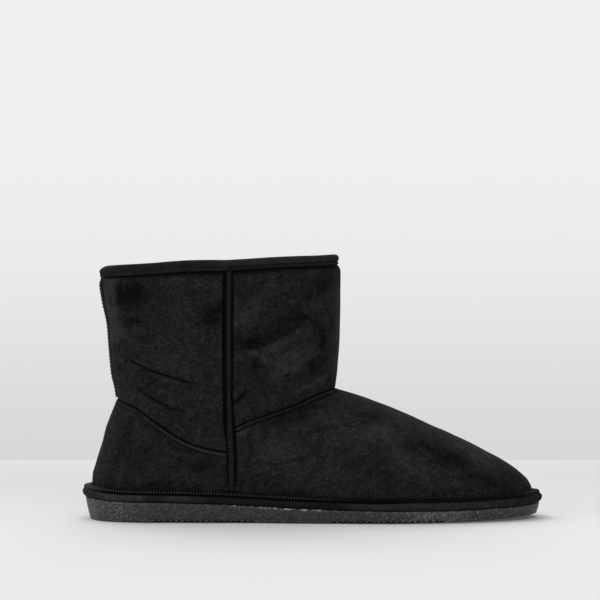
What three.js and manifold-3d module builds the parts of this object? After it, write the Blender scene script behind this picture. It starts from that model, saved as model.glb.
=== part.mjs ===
// A pull-on ankle boot slipper: a soft hollow upper on a low rubber sole, with a bound collar,
// corded seams at the sides and the back, and a padded binding round the foot of the upper.
// Millimetres. X runs from heel to toe, Y to the wearer's left, Z up. It is a right shoe,
// so the outer side of the foot is at -Y. The origin is under the middle of its box, on the floor.

import * as THREE from 'three';
import { mergeVertices } from 'three/addons/utils/BufferGeometryUtils.js';
import Module from 'manifold-3d';

const wasm = await Module();
wasm.setup();

// Driving sizes of the foot and the shaft
const FOOT_LENGTH = 263.6;        // upper at its foot, heel to toe
const BALL_WIDTH = 91;            // upper at its foot, across the ball
const INSTEP_HEIGHT = 66.2;       // throat above the sole
const HEEL_SEAM_HEIGHT = 59.4;    // top of the heel quarter at the back, above the sole
const SHAFT_RISE = 73.2;          // collar at the back above the throat
const COLLAR_SLOPE = 7.1;         // front of the collar above its back
const SHAFT_WIDTH = 88;           // shaft across the collar
const TOE_SWING = 7;              // toe point towards the inner side of the foot

// Walls, edges and clearances
const WALL = 3.4;                 // suede with its fleece lining
const LAP = 0.8;                  // how far the vamp and heel quarter stand proud at their seam
const LAP_EDGE = 0.5;             // height of that step
const LAP_SPREAD = 0.35;          // levels over which it rises from the skin
const LAP_FADE = 4.5;             // distance over which the lap sinks away beside a side cord
const GAP = 0.3;                  // clearance between pieces that touch

// Sole
const HEEL_THICKNESS = 13.4;
const TOE_SPRING = 2.4;
const SOLE_TOP_OUT = 4.2;         // top edge of the sole outside the upper's foot
const SOLE_BOTTOM_OUT = 1.7;      // bottom edge of the sole outside the upper's foot
const SOLE_EDGE = 1.1;            // rounding of the sole's edges
const GROOVE_PITCH = 3.5;
const GROOVE_WIDTH = 1.3;
const GROOVE_DEPTH = 1.1;
const INSOLE_THICKNESS = 4;
const INSOLE_CLEARANCE = 0.5;

// Bindings and seam cords
const WELT_WIDTH = 5.5;           // how far the padded binding stands out from the upper
const WELT_HEIGHT = 6.6;
const BINDING_HEIGHT = 6.8;       // collar binding, outside
const BINDING_INSIDE = 5.2;       // collar binding, inside
const BINDING_THICKNESS = 0.9;
const BINDING_SUNK = 0.5;         // how far its face lies under the face of the suede
const LINING_SINK = 0.8;          // how far the lining is pressed in under the binding
const CORD_WIDTH = 4.6;
const CORD_THICKNESS = 1.3;
const CORD_EDGE = 0.5;            // thickness of a seam cord at its sides
const CORD_CENTRE = 1.0;          // and in the dip between its two ridges
const CORD_LIFT = 0.45;           // clearance under it, over the facets of the upper

// How round the shapes are
const DOME_POWER = 2.6;           // cross-section of the vamp: 2 is an ellipse, more is squarer
const SHAFT_POWER = 2.15;         // plan of the shaft, likewise
const MERGE_POWER = 10;           // how sharply the shaft turns into the foot

// Mesh density
const COLUMNS = 68;               // round the upper; a multiple of four
const SOLE_COLUMNS = 60;

// Half widths of the foot, as multiples of an ellipse of the ball's width
const OUTLINE = [
  { along: 0.00, outer: 1.28, inner: 1.28 },
  { along: 0.06, outer: 1.20, inner: 1.20 },
  { along: 0.12, outer: 1.10, inner: 1.10 },
  { along: 0.20, outer: 0.955, inner: 0.945 },
  { along: 0.35, outer: 0.845, inner: 0.795 },
  { along: 0.50, outer: 0.890, inner: 0.825 },
  { along: 0.70, outer: 1.090, inner: 1.075 },
  { along: 0.85, outer: 1.210, inner: 1.240 },
  { along: 0.95, outer: 1.300, inner: 1.390 },
  { along: 1.00, outer: 1.350, inner: 1.450 },
];

// Top line of the foot: place along it, and height as a share of the instep's
const RIDGE = [
  { along: 0.000, height: 1.500 },
  { along: 0.300, height: 1.290 },
  { along: 0.450, height: 1.120 },
  { along: 0.551, height: 1.000 },
  { along: 0.579, height: 0.969 },
  { along: 0.648, height: 0.874 },
  { along: 0.716, height: 0.775 },
  { along: 0.778, height: 0.672 },
  { along: 0.838, height: 0.563 },
  { along: 0.893, height: 0.456 },
  { along: 0.943, height: 0.350 },
  { along: 0.978, height: 0.243 },
  { along: 0.990, height: 0.196 },
  { along: 1.000, height: 0.125 },
];

// Back line of the heel: height as a share of the heel seam's, and inset of the foot's length
const HEEL_LINE = [
  { height: 0.00, inset: 0.0010 },
  { height: 0.15, inset: 0.0000 },
  { height: 0.22, inset: 0.0008 },
  { height: 0.34, inset: 0.0087 },
  { height: 0.46, inset: 0.0171 },
  { height: 0.58, inset: 0.0247 },
  { height: 0.71, inset: 0.0319 },
  { height: 0.83, inset: 0.0411 },
  { height: 1.00, inset: 0.0570 },
  { height: 1.60, inset: 0.1050 },
  { height: 3.00, inset: 0.2200 },
];

// The shaft and its hidden run into the foot: height from the throat as a share of its rise,
// places along the foot's length, and half width as a share of the collar's
const SHAFT = [
  { height: -0.93, back: 0.1440, front: 0.4740, width: 0.620 },
  { height: -0.67, back: 0.1210, front: 0.4970, width: 0.740 },
  { height: -0.39, back: 0.0920, front: 0.5235, width: 0.850 },
  { height: -0.11, back: 0.0610, front: 0.5440, width: 0.900 },
  { height: 0.02, back: 0.0545, front: 0.5510, width: 0.912 },
  { height: 0.12, back: 0.0480, front: 0.5530, width: 0.925 },
  { height: 0.32, back: 0.0425, front: 0.5574, width: 0.950 },
  { height: 0.52, back: 0.0380, front: 0.5598, width: 0.972 },
  { height: 0.72, back: 0.0265, front: 0.5608, width: 0.990 },
  { height: 0.88, back: 0.0200, front: 0.5608, width: 1.000 },
  { height: 1.20, back: 0.0160, front: 0.5590, width: 1.005 },
];

// Two lines round the shoe, by place along the foot. The heel quarter's edge falls from the back
// to the side cord, and its line runs on to the toe; as a share of the heel seam's height.
const QUARTER_LINE = [
  { along: 0.058, height: 1.000 },
  { along: 0.105, height: 0.917 },
  { along: 0.141, height: 0.808 },
  { along: 0.174, height: 0.707 },
  { along: 0.201, height: 0.633 },
  { along: 0.231, height: 0.573 },
  { along: 0.268, height: 0.527 },
  { along: 0.320, height: 0.495 },
  { along: 0.460, height: 0.470 },
  { along: 0.700, height: 0.445 },
  { along: 0.940, height: 0.430 },
];
// The vamp's edge climbs from the side cord to the throat, and its line comes from the back;
// as a share of the instep's height.
const VAMP_LINE = [
  { along: 0.050, height: 1.060 },
  { along: 0.120, height: 0.890 },
  { along: 0.180, height: 0.760 },
  { along: 0.250, height: 0.675 },
  { along: 0.310, height: 0.655 },
  { along: 0.367, height: 0.740 },
  { along: 0.423, height: 0.815 },
  { along: 0.468, height: 0.880 },
  { along: 0.508, height: 0.948 },
  { along: 0.551, height: 1.000 },
];
const LEAST_FLANK = 8;            // the two lines never come nearer than this
const THROAT = 0.551;             // place of the throat along the foot
const SIDE_SEAM = 0.3165;         // place of the side cords along the foot

// Sole: thickness as a share of the heel's, and lift of the tread as a share of the toe spring
const SOLE_TOP = [
  { along: -0.030, height: 1.000 },
  { along: 0.060, height: 0.975 },
  { along: 0.140, height: 0.950 },
  { along: 0.276, height: 0.851 },
  { along: 0.380, height: 0.746 },
  { along: 0.500, height: 0.640 },
  { along: 0.650, height: 0.570 },
  { along: 0.800, height: 0.552 },
  { along: 0.900, height: 0.600 },
  { along: 0.965, height: 0.650 },
  { along: 1.030, height: 0.740 },
];
const SOLE_BOTTOM = [
  { along: 0.00, lift: 0.00 },
  { along: 0.66, lift: 0.00 },
  { along: 0.76, lift: 0.20 },
  { along: 0.86, lift: 0.33 },
  { along: 0.93, lift: 0.48 },
  { along: 0.98, lift: 0.64 },
  { along: 1.02, lift: 0.85 },
];
const TREAD_ZONES = [
  { from: 0.150, to: 0.365 },
  { from: 0.545, to: 0.790 },
];

// Section of the padded binding: out as a share of its width, up as a share of its height
const WELT_SECTION = [
  { out: 0.30, up: 0.98 },
  { out: 0.62, up: 0.96 },
  { out: 0.88, up: 0.78 },
  { out: 1.00, up: 0.50 },
  { out: 0.95, up: 0.20 },
  { out: 0.78, up: 0.00 },
];

const clamp = (value, low, high) => Math.min(high, Math.max(low, value));
const mix = (a, b, share) => a + (b - a) * share;

function smooth(share) {
  const t = clamp(share, 0, 1);
  return t * t * (3 - 2 * t);
}

// A smooth curve through the rows of a table that never overshoots them
function curve(rows, key, value) {
  const x = rows.map((row) => row[key]);
  const y = rows.map((row) => row[value]);
  const last = x.length - 1;
  const rise = x.slice(1).map((end, i) => (y[i + 1] - y[i]) / (end - x[i]));
  const slope = x.map((_, i) => {
    if (i === 0) return rise[0];
    if (i === last) return rise[last - 1];
    if (rise[i - 1] * rise[i] <= 0) return 0;
    return 2 * rise[i - 1] * rise[i] / (rise[i - 1] + rise[i]);
  });
  return (at) => {
    if (at <= x[0]) return y[0];
    if (at >= x[last]) return y[last];
    let i = 0;
    while (at > x[i + 1]) i += 1;
    const step = x[i + 1] - x[i];
    const t = (at - x[i]) / step;
    const u = 1 - t;
    return y[i] * u * u * (1 + 2 * t) + y[i + 1] * t * t * (3 - 2 * t)
      + step * (slope[i] * t * u * u - slope[i + 1] * t * t * u);
  };
}

const outlineCurve = { outer: curve(OUTLINE, 'along', 'outer'), inner: curve(OUTLINE, 'along', 'inner') };
const ridgeCurve = curve(RIDGE, 'along', 'height');
const heelCurve = curve(HEEL_LINE, 'height', 'inset');
const shaftBackCurve = curve(SHAFT, 'height', 'back');
const shaftFrontCurve = curve(SHAFT, 'height', 'front');
const shaftWidthCurve = curve(SHAFT, 'height', 'width');
const quarterCurve = curve(QUARTER_LINE, 'along', 'height');
const vampCurve = curve(VAMP_LINE, 'along', 'height');
const soleTopCurve = curve(SOLE_TOP, 'along', 'height');
const soleBottomCurve = curve(SOLE_BOTTOM, 'along', 'lift');

// Heights of the sole's faces over the floor, at a place along the foot
const soleTop = (x) => HEEL_THICKNESS * soleTopCurve(x / FOOT_LENGTH);
const soleBottom = (x) => TOE_SPRING * soleBottomCurve(x / FOOT_LENGTH);
const seat = soleTop(SIDE_SEAM * FOOT_LENGTH) + GAP;

// A height in the upper is counted from its foot, which follows the sole; from the throat up
// the heights are level
function upperZ(x, height) {
  return height + mix(soleTop(x) + GAP, seat, clamp(height / INSTEP_HEIGHT, 0, 1));
}

// Lines of the side view
const footBack = (height) => FOOT_LENGTH * heelCurve(height / HEEL_SEAM_HEIGHT);
const ridgeHeight = (x) => INSTEP_HEIGHT * ridgeCurve(x / FOOT_LENGTH);
const shaftShare = (height) => (height - INSTEP_HEIGHT) / SHAFT_RISE;
const shaftBack = (height) => FOOT_LENGTH * shaftBackCurve(shaftShare(height));
const shaftFront = (height) => FOOT_LENGTH * shaftFrontCurve(shaftShare(height));
const shaftHalf = (height) => SHAFT_WIDTH / 2 * shaftWidthCurve(shaftShare(height));

// Front of the foot at a height: the toe up to its nose, then the ridge
function footFront(height) {
  if (height <= ridgeHeight(FOOT_LENGTH)) return FOOT_LENGTH;
  let near = 0;
  let far = FOOT_LENGTH;
  while (far - near > 1e-7) {
    const middle = (near + far) / 2;
    if (ridgeHeight(middle) > height) near = middle;
    else far = middle;
  }
  return far;
}

// Half width of the foot on one side, a dome over the outline
function footHalf(x, height, side) {
  const back = footBack(height);
  const along = (x - back) / (FOOT_LENGTH - back);
  const rise = height / ridgeHeight(x);
  if (along <= 0 || along >= 1 || rise >= 1) return 0;
  const round = 2 * Math.sqrt(along * (1 - along));
  const dome = Math.sqrt(1 - Math.max(rise, 0) ** DOME_POWER);
  return BALL_WIDTH / 2 * round * outlineCurve[side](along) * dome;
}

// Half width of the shaft, an oval
function shaftSide(x, height) {
  const back = shaftBack(height);
  const along = (x - back) / (shaftFront(height) - back);
  if (along <= 0 || along >= 1) return 0;
  return shaftHalf(height) * Math.sqrt(1 - Math.abs(2 * along - 1) ** SHAFT_POWER);
}

// The middle line swings to the inner side towards the toe
const middleLine = (x) => TOE_SWING * smooth((x / FOOT_LENGTH - 0.45) / 0.55);

// Outer skin at a place of the side view, on the outer (-Y) or inner (+Y) side
function skinAt(x, height, sign) {
  const foot = footHalf(x, height, sign < 0 ? 'outer' : 'inner');
  const shaft = shaftSide(x, height);
  const half = (foot ** MERGE_POWER + shaft ** MERGE_POWER) ** (1 / MERGE_POWER);
  return new THREE.Vector3(x, middleLine(x) + sign * half, upperZ(x, height));
}

const upperBack = (height) => Math.min(shaftBack(height), footBack(height));
const upperFront = (height) => Math.max(shaftFront(height), footFront(height));
const quarterBack = footBack(HEEL_SEAM_HEIGHT) / FOOT_LENGTH;
const quarterFront = footFront(HEEL_SEAM_HEIGHT * quarterCurve(1)) / FOOT_LENGTH;
const collarHeight = (share) => INSTEP_HEIGHT + SHAFT_RISE + COLLAR_SLOPE * share;

// Heights of the foot, the quarter's line, the vamp's line and the collar, by the share of the
// way from back to front
function linesAt(share) {
  const quarter = HEEL_SEAM_HEIGHT * quarterCurve(mix(quarterBack, quarterFront, share));
  const vamp = INSTEP_HEIGHT * vampCurve(mix(quarterBack, THROAT, share));
  return [0, quarter, Math.max(vamp, quarter + LEAST_FLANK), collarHeight(share)];
}

// Height of a level: 0 is the foot, 1 the quarter's line, 2 the vamp's line and 3 the collar
function heightOf(share, level) {
  const lines = linesAt(share);
  const band = Math.min(Math.floor(level), 2);
  return mix(lines[band], lines[band + 1], level - band);
}

function levelOf(share, height) {
  const lines = linesAt(share);
  const band = lines.filter((line) => line > 0 && line < height).length;
  return band + (height - lines[band]) / (lines[band + 1] - lines[band]);
}

// Outer skin by angle and level. The angle runs from the back (0) over the outer side to the toe
// (pi) and home over the inner side; 'drop' takes millimetres off the height.
function skin(angle, level, drop = 0) {
  const share = (1 - Math.cos(angle)) / 2;
  const sign = Math.sin(angle) >= 0 ? -1 : 1;
  const back = upperBack(heightOf(0, level) - drop);
  const front = upperFront(heightOf(1, level) - drop);
  return skinAt(mix(back, front, share), heightOf(share, level) - drop, sign);
}

// Outward direction of the skin
function skinNormal(angle, level, drop = 0) {
  const turn = 0.012;
  const climb = 0.008;
  const low = clamp(level - climb, 0, 3);
  const high = clamp(level + climb, 0, 3);
  const around = skin(angle + turn, level, drop).sub(skin(angle - turn, level, drop));
  const up = skin(angle, high, drop).sub(skin(angle, low, drop));
  return around.cross(up).normalize();
}

// A point under the skin, by a depth along its outward direction
function under(angle, level, depth, drop = 0) {
  return skin(angle, level, drop).addScaledVector(skinNormal(angle, level, drop), -depth);
}

// The outline of the upper's foot, moved out sideways
function outline(angle, out) {
  const turn = 0.012;
  const along = skin(angle + turn, 0).sub(skin(angle - turn, 0)).setZ(0).normalize();
  return skin(angle, 0).add(new THREE.Vector3(along.y, -along.x, 0).multiplyScalar(out));
}

const angles = (count) => Array.from({ length: count }, (_, i) => 2 * Math.PI * i / count);

// Joins equal rings of points into a skin; 'closed' joins the last ring to the first
function ringFaces(rings, closed) {
  const count = rings[0].length;
  const faces = [];
  const steps = closed ? rings.length : rings.length - 1;
  for (let r = 0; r < steps; r += 1) {
    const next = (r + 1) % rings.length;
    for (let i = 0; i < count; i += 1) {
      const j = (i + 1) % count;
      const [a, b, c, d] = [r * count + i, r * count + j, next * count + j, next * count + i];
      faces.push([a, b, c], [a, c, d]);
    }
  }
  return faces;
}

// Closes a ring with strips across it, from one side to the other
function capFaces(start, count, up) {
  const faces = [];
  for (let i = 0; i < count / 2; i += 1) {
    const a = start + i;
    const b = start + i + 1;
    const c = start + (count - i - 1) % count;
    const d = start + (count - i) % count;
    const quad = [[a, b, c], [a, c, d]].filter((f) => new Set(f).size === 3);
    quad.forEach((f) => faces.push(up ? f : [f[0], f[2], f[1]]));
  }
  return faces;
}

function solid(points, faces) {
  const geometry = new THREE.BufferGeometry();
  geometry.setAttribute('position', new THREE.Float32BufferAttribute(points.flatMap((p) => p.toArray()), 3));
  geometry.setIndex(faces.flat());
  geometry.computeVertexNormals();
  return geometry;
}

// The upper: outer skin from the foot to the collar, and the lining back down. Each ring is a
// level, a depth under the skin and a drop in millimetres.
function upperGeometry() {
  const sunk = BINDING_SUNK + BINDING_THICKNESS + GAP;
  const crown = BINDING_THICKNESS + GAP;
  const footLevels = [0, 0.1, 0.22, 0.36, 0.52, 0.68, 0.82, 0.92, 1];
  const flankLevels = [1.2, 1.45, 1.7, 1.88, 2];
  const shaftLevels = [2.05, 2.14, 2.28, 2.44, 2.62, 2.8];
  const liningLevels = [2.7, 2.45, 2.2, 2, 1.7, 1.35, 1, 0.75, 0.5, 0.25, 0.08, 0];
  const rings = [
    ...footLevels.map((level) => ({ level, depth: 0, drop: 0 })),
    { level: 1.001, depth: 0, drop: -LAP_EDGE },
    ...flankLevels.map((level) => ({ level, depth: 0, drop: 0 })),
    { level: 2.001, depth: 0, drop: -LAP_EDGE },
    ...shaftLevels.map((level) => ({ level, depth: 0, drop: 0 })),
    { level: 3, depth: 0, drop: BINDING_HEIGHT + LAP_EDGE },
    { level: 3, depth: sunk, drop: BINDING_HEIGHT },
    { level: 3, depth: sunk, drop: crown },
    { level: 3, depth: WALL - LINING_SINK, drop: crown },
    { level: 3, depth: WALL - LINING_SINK, drop: BINDING_INSIDE + LAP_EDGE },
    { level: 3, depth: WALL, drop: BINDING_INSIDE + 2 * LAP_EDGE },
    ...liningLevels.map((level) => ({ level, depth: WALL, drop: 0 })),
  ];
  const points = rings.map((ring) => angles(COLUMNS).map((angle) => {
    const depth = ring.depth - lapAt(angle, ring.level) * (ring.depth === 0 ? 1 : 0);
    const point = under(angle, ring.level, depth, ring.drop);
    if (ring.level === 0) point.z = soleTop(point.x) + GAP;
    return point;
  }));
  return solid(points.flat(), ringFaces(points, true));
}

// How far the skin stands proud at a seam: the heel quarter behind the side cords, the vamp
// before them
function lapAt(angle, level) {
  const ahead = skin(angle, level).x - SIDE_SEAM * FOOT_LENGTH;
  const fade = smooth((Math.abs(ahead) - CORD_WIDTH / 2 - LAP_FADE) / LAP_FADE);
  const top = ahead < 0 ? 1 : 2;
  return level > top ? 0 : LAP * fade * smooth((level - top) / LAP_SPREAD + 1);
}

// The collar's binding, folded over the edge of the shaft
function collarGeometry() {
  const face = BINDING_SUNK;
  const back = BINDING_SUNK + BINDING_THICKNESS;
  const liningFace = WALL - LINING_SINK + GAP;
  const inside = liningFace + BINDING_THICKNESS;
  const middle = (face + inside) / 2;
  const section = [
    { depth: back, drop: BINDING_HEIGHT - GAP },
    { depth: back, drop: BINDING_THICKNESS },
    { depth: liningFace, drop: BINDING_THICKNESS },
    { depth: liningFace, drop: BINDING_INSIDE },
    { depth: inside, drop: BINDING_INSIDE },
    { depth: inside, drop: BINDING_THICKNESS * 1.3 },
    { depth: mix(inside, middle, 0.35), drop: BINDING_THICKNESS * 0.35 },
    { depth: middle, drop: 0 },
    { depth: mix(face, middle, 0.35), drop: BINDING_THICKNESS * 0.35 },
    { depth: face, drop: BINDING_THICKNESS * 1.3 },
    { depth: face, drop: BINDING_HEIGHT - GAP },
  ];
  const rings = section.reverse().map((row) => (
    angles(COLUMNS).map((angle) => under(angle, 3, row.depth, row.drop))
  ));
  return solid(rings.flat(), ringFaces(rings, true));
}

// The padded binding round the foot of the upper, on the edge of the sole
function weltGeometry() {
  const rings = [];
  const place = (angle, out, up) => {
    const point = outline(angle, out);
    point.z = soleTop(point.x) + GAP + up;
    return point;
  };
  // its inner face follows the skin of the upper
  const against = (angle, up) => {
    const point = under(angle, levelOf((1 - Math.cos(angle)) / 2, up), -GAP);
    point.z = soleTop(point.x) + GAP + up;
    return point;
  };
  rings.push(angles(COLUMNS).map((angle) => against(angle, 0)));
  rings.push(angles(COLUMNS).map((angle) => against(angle, WELT_HEIGHT * 0.45)));
  rings.push(angles(COLUMNS).map((angle) => against(angle, WELT_HEIGHT * 0.88)));
  for (const row of WELT_SECTION) {
    rings.push(angles(COLUMNS).map((angle) => place(angle, row.out * WELT_WIDTH, row.up * WELT_HEIGHT)));
  }
  rings.reverse();
  return solid(rings.flat(), ringFaces(rings, true));
}

// The outsole, before its tread is cut
function soleGeometry() {
  const section = [
    { out: SOLE_BOTTOM_OUT - SOLE_EDGE, from: 'bottom', up: 0 },
    { out: SOLE_BOTTOM_OUT - SOLE_EDGE * 0.3, from: 'bottom', up: SOLE_EDGE * 0.3 },
    { out: SOLE_BOTTOM_OUT, from: 'bottom', up: SOLE_EDGE },
    { out: SOLE_TOP_OUT, from: 'top', up: -SOLE_EDGE * 0.6 },
    { out: SOLE_TOP_OUT - SOLE_EDGE * 0.6, from: 'top', up: 0 },
  ];
  const rings = section.map((row) => angles(SOLE_COLUMNS).map((angle) => {
    const point = outline(angle, row.out);
    point.z = (row.from === 'top' ? soleTop(point.x) : soleBottom(point.x)) + row.up;
    return point;
  }));
  const faces = ringFaces(rings, false);
  const top = (section.length - 1) * SOLE_COLUMNS;
  faces.push(...capFaces(0, SOLE_COLUMNS, false), ...capFaces(top, SOLE_COLUMNS, true));
  return solid(rings.flat(), faces);
}

function toManifold(geometry) {
  const bare = geometry.clone();
  bare.deleteAttribute('normal');
  bare.deleteAttribute('uv');
  const merged = mergeVertices(bare, 1e-4);
  const mesh = new wasm.Mesh({
    numProp: 3,
    vertProperties: new Float32Array(merged.attributes.position.array),
    triVerts: new Uint32Array(merged.index.array),
  });
  return new wasm.Manifold(mesh);
}

function fromManifold(body) {
  const mesh = body.getMesh();
  const geometry = new THREE.BufferGeometry();
  geometry.setAttribute('position', new THREE.Float32BufferAttribute(mesh.vertProperties, 3));
  geometry.setIndex(Array.from(mesh.triVerts));
  geometry.computeVertexNormals();
  return geometry;
}

// Cross grooves of the tread, under the heel and under the ball
function treadedSole() {
  let body = toManifold(soleGeometry());
  for (const zone of TREAD_ZONES) {
    const from = zone.from * FOOT_LENGTH;
    const count = Math.floor((zone.to * FOOT_LENGTH - from) / GROOVE_PITCH);
    for (let i = 0; i <= count; i += 1) {
      const groove = new THREE.BoxGeometry(GROOVE_WIDTH, 2 * BALL_WIDTH, 2 * GROOVE_DEPTH);
      groove.translate(from + i * GROOVE_PITCH, 0, 0);
      body = body.subtract(toManifold(groove));
    }
  }
  return fromManifold(body);
}

// The insole lies on the sole inside the upper
function insoleGeometry() {
  const out = -(WALL + INSOLE_CLEARANCE);
  const edge = INSOLE_THICKNESS * 0.2;
  const section = [
    { out, up: GAP },
    { out, up: GAP + INSOLE_THICKNESS - edge },
    { out: out - edge, up: GAP + INSOLE_THICKNESS },
  ];
  const rings = section.map((row) => angles(SOLE_COLUMNS).map((angle) => {
    const point = outline(angle, row.out);
    point.z = soleTop(point.x) + row.up;
    return point;
  }));
  const faces = ringFaces(rings, false);
  const top = (section.length - 1) * SOLE_COLUMNS;
  faces.push(...capFaces(0, SOLE_COLUMNS, false), ...capFaces(top, SOLE_COLUMNS, true));
  return solid(rings.flat(), faces);
}

// A seam cord: two ridges on a flat strip that follows the skin. 'place' gives the angle on the
// skin for a distance across the strip, at a station along it.
function cordGeometry(stations, skinPlace) {
  const across = [
    { side: -1, thick: CORD_EDGE },
    { side: -0.55, thick: CORD_THICKNESS },
    { side: 0, thick: CORD_CENTRE },
    { side: 0.55, thick: CORD_THICKNESS },
    { side: 1, thick: CORD_EDGE },
  ];
  const rings = stations.map((station) => {
    const foot = [];
    const face = [];
    for (const row of across) {
      const { point, normal } = skinPlace(station, row.side * CORD_WIDTH / 2);
      foot.push(point.clone().addScaledVector(normal, CORD_LIFT));
      face.push(point.clone().addScaledVector(normal, CORD_LIFT + row.thick));
    }
    return [...face, ...foot.reverse()];
  });
  const count = rings[0].length;
  const faces = ringFaces(rings, false);
  const end = (rings.length - 1) * count;
  for (let i = 0; i < across.length - 1; i += 1) {
    const j = count - 1 - i;
    faces.push([i, j, j - 1], [i, j - 1, i + 1]);
    faces.push([end + i, end + i + 1, end + j - 1], [end + i, end + j - 1, end + j]);
  }
  return solid(rings.flat(), faces);
}

const stationsBetween = (low, high, count) => (
  Array.from({ length: count + 1 }, (_, i) => mix(low, high, i / count))
);

function sideCord(sign) {
  const x = SIDE_SEAM * FOOT_LENGTH;
  const [back, front] = [shaftBack(INSTEP_HEIGHT + SHAFT_RISE), shaftFront(INSTEP_HEIGHT + SHAFT_RISE)];
  const share = (x - back) / (front - back);
  const top = collarHeight(share) - BINDING_HEIGHT - LAP_EDGE - GAP;
  const low = WELT_HEIGHT + GAP;
  const step = 0.5;
  const geometry = cordGeometry(stationsBetween(low, top, 20), (height, offset) => {
    const point = skinAt(x + offset, height, sign);
    const along = skinAt(x + offset + step, height, sign).sub(skinAt(x + offset - step, height, sign));
    const up = skinAt(x + offset, height + step, sign).sub(skinAt(x + offset, height - step, sign));
    const normal = up.cross(along).normalize();
    if (normal.y * sign < 0) normal.negate();
    return { point, normal };
  });
  return sign > 0 ? flipped(geometry) : geometry;
}

// Turns every face of a geometry round
function flipped(geometry) {
  const index = Array.from(geometry.index.array);
  for (let i = 0; i < index.length; i += 3) [index[i + 1], index[i + 2]] = [index[i + 2], index[i + 1]];
  geometry.setIndex(index);
  geometry.computeVertexNormals();
  return geometry;
}

function backCord() {
  const low = HEEL_SEAM_HEIGHT + CORD_LIFT + 2 * LAP_EDGE;
  const top = INSTEP_HEIGHT + SHAFT_RISE - BINDING_HEIGHT - LAP_EDGE - GAP;
  const levels = stationsBetween(low, top, 16).map((height) => levelOf(0, height));
  return cordGeometry(levels, (level, offset) => {
    const reach = 0.05;
    const perRadian = skin(reach, level).distanceTo(skin(0, level)) / reach;
    const angle = offset / perRadian;
    return { point: skin(angle, level), normal: skinNormal(angle, level) };
  });
}

const suede = new THREE.MeshStandardMaterial({ color: 0x1b1b1c, roughness: 0.95 });
const bindingCloth = new THREE.MeshStandardMaterial({ color: 0x18181a, roughness: 0.9 });
const cordCloth = new THREE.MeshStandardMaterial({ color: 0x1e1e20, roughness: 0.9 });
const rubber = new THREE.MeshStandardMaterial({ color: 0x333436, roughness: 0.6 });
const fleece = new THREE.MeshStandardMaterial({ color: 0x202022, roughness: 1 });

function named(name, geometry, material) {
  const mesh = new THREE.Mesh(geometry, material);
  mesh.name = name;
  return mesh;
}

const shoe = new THREE.Group();
shoe.add(
  named('outsole', treadedSole(), rubber),
  named('foot_binding', weltGeometry(), bindingCloth),
  named('upper', upperGeometry(), suede),
  named('insole', insoleGeometry(), fleece),
  named('collar_binding', collarGeometry(), bindingCloth),
  named('side_cord_outer', sideCord(-1), cordCloth),
  named('side_cord_inner', sideCord(1), cordCloth),
  named('back_cord', backCord(), cordCloth),
);

// Middle of the box over the origin
const box = new THREE.Box3().setFromObject(shoe);
const centre = box.getCenter(new THREE.Vector3());
shoe.position.set(-centre.x, -centre.y, 0);
shoe.updateMatrixWorld(true);

export default shoe;
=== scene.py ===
"""Looks of a pull-on ankle bootie slipper: brushed suede, bound edges, corded seams, rubber sole.

Sizes are millimetres, counted from the back of the heel, from the middle line and from the floor.
They are turned into metres in the part's own frame where a mesh is made.
"""

import logging
import math
from dataclasses import dataclass, field
from enum import Enum

import bmesh
import bpy
import numpy as np
from mathutils import Matrix, Vector

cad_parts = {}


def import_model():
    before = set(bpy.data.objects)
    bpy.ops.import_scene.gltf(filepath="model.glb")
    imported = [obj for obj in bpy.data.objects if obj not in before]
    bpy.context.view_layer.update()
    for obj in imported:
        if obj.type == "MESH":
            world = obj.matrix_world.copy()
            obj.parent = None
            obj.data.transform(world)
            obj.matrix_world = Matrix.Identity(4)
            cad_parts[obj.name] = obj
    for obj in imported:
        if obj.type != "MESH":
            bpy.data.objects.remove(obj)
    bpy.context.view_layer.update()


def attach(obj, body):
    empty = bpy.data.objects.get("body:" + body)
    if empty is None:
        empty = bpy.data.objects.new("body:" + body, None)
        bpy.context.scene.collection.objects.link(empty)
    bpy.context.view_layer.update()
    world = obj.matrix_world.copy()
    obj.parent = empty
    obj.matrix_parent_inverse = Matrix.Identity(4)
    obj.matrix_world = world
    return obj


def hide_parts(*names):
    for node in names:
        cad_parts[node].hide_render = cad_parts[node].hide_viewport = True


Array = np.ndarray
Socket = bpy.types.NodeSocket
MM = 0.001
BODY = "root"

# Half widths of the foot, as multiples of an ellipse of the ball's width: place, outer, inner
OUTLINE = (
    (0.00, 1.62, 1.62), (0.03, 1.50, 1.50), (0.06, 1.36, 1.36), (0.12, 1.17, 1.17), (0.20, 0.975, 0.965),
    (0.35, 0.845, 0.795), (0.50, 0.890, 0.825), (0.70, 1.090, 1.075), (0.85, 1.210, 1.240),
    (0.95, 1.300, 1.390), (1.00, 1.350, 1.450),
)
# Top line of the foot: place, height as a share of the instep's
RIDGE = (
    (0.000, 1.500), (0.300, 1.290), (0.450, 1.120), (0.551, 1.000), (0.579, 0.969),
    (0.648, 0.874), (0.716, 0.775), (0.778, 0.672), (0.838, 0.563), (0.893, 0.456),
    (0.943, 0.350), (0.978, 0.243), (0.990, 0.196), (1.000, 0.125),
)
# Back line of the heel: height as a share of the heel seam's, inset as a share of the foot
HEEL_LINE = (
    (0.00, 0.0010), (0.15, 0.0000), (0.22, 0.0008), (0.34, 0.0087), (0.46, 0.0171),
    (0.58, 0.0247), (0.71, 0.0319), (0.83, 0.0411), (1.00, 0.0570), (1.60, 0.1050),
    (3.00, 0.2200),
)
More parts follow.
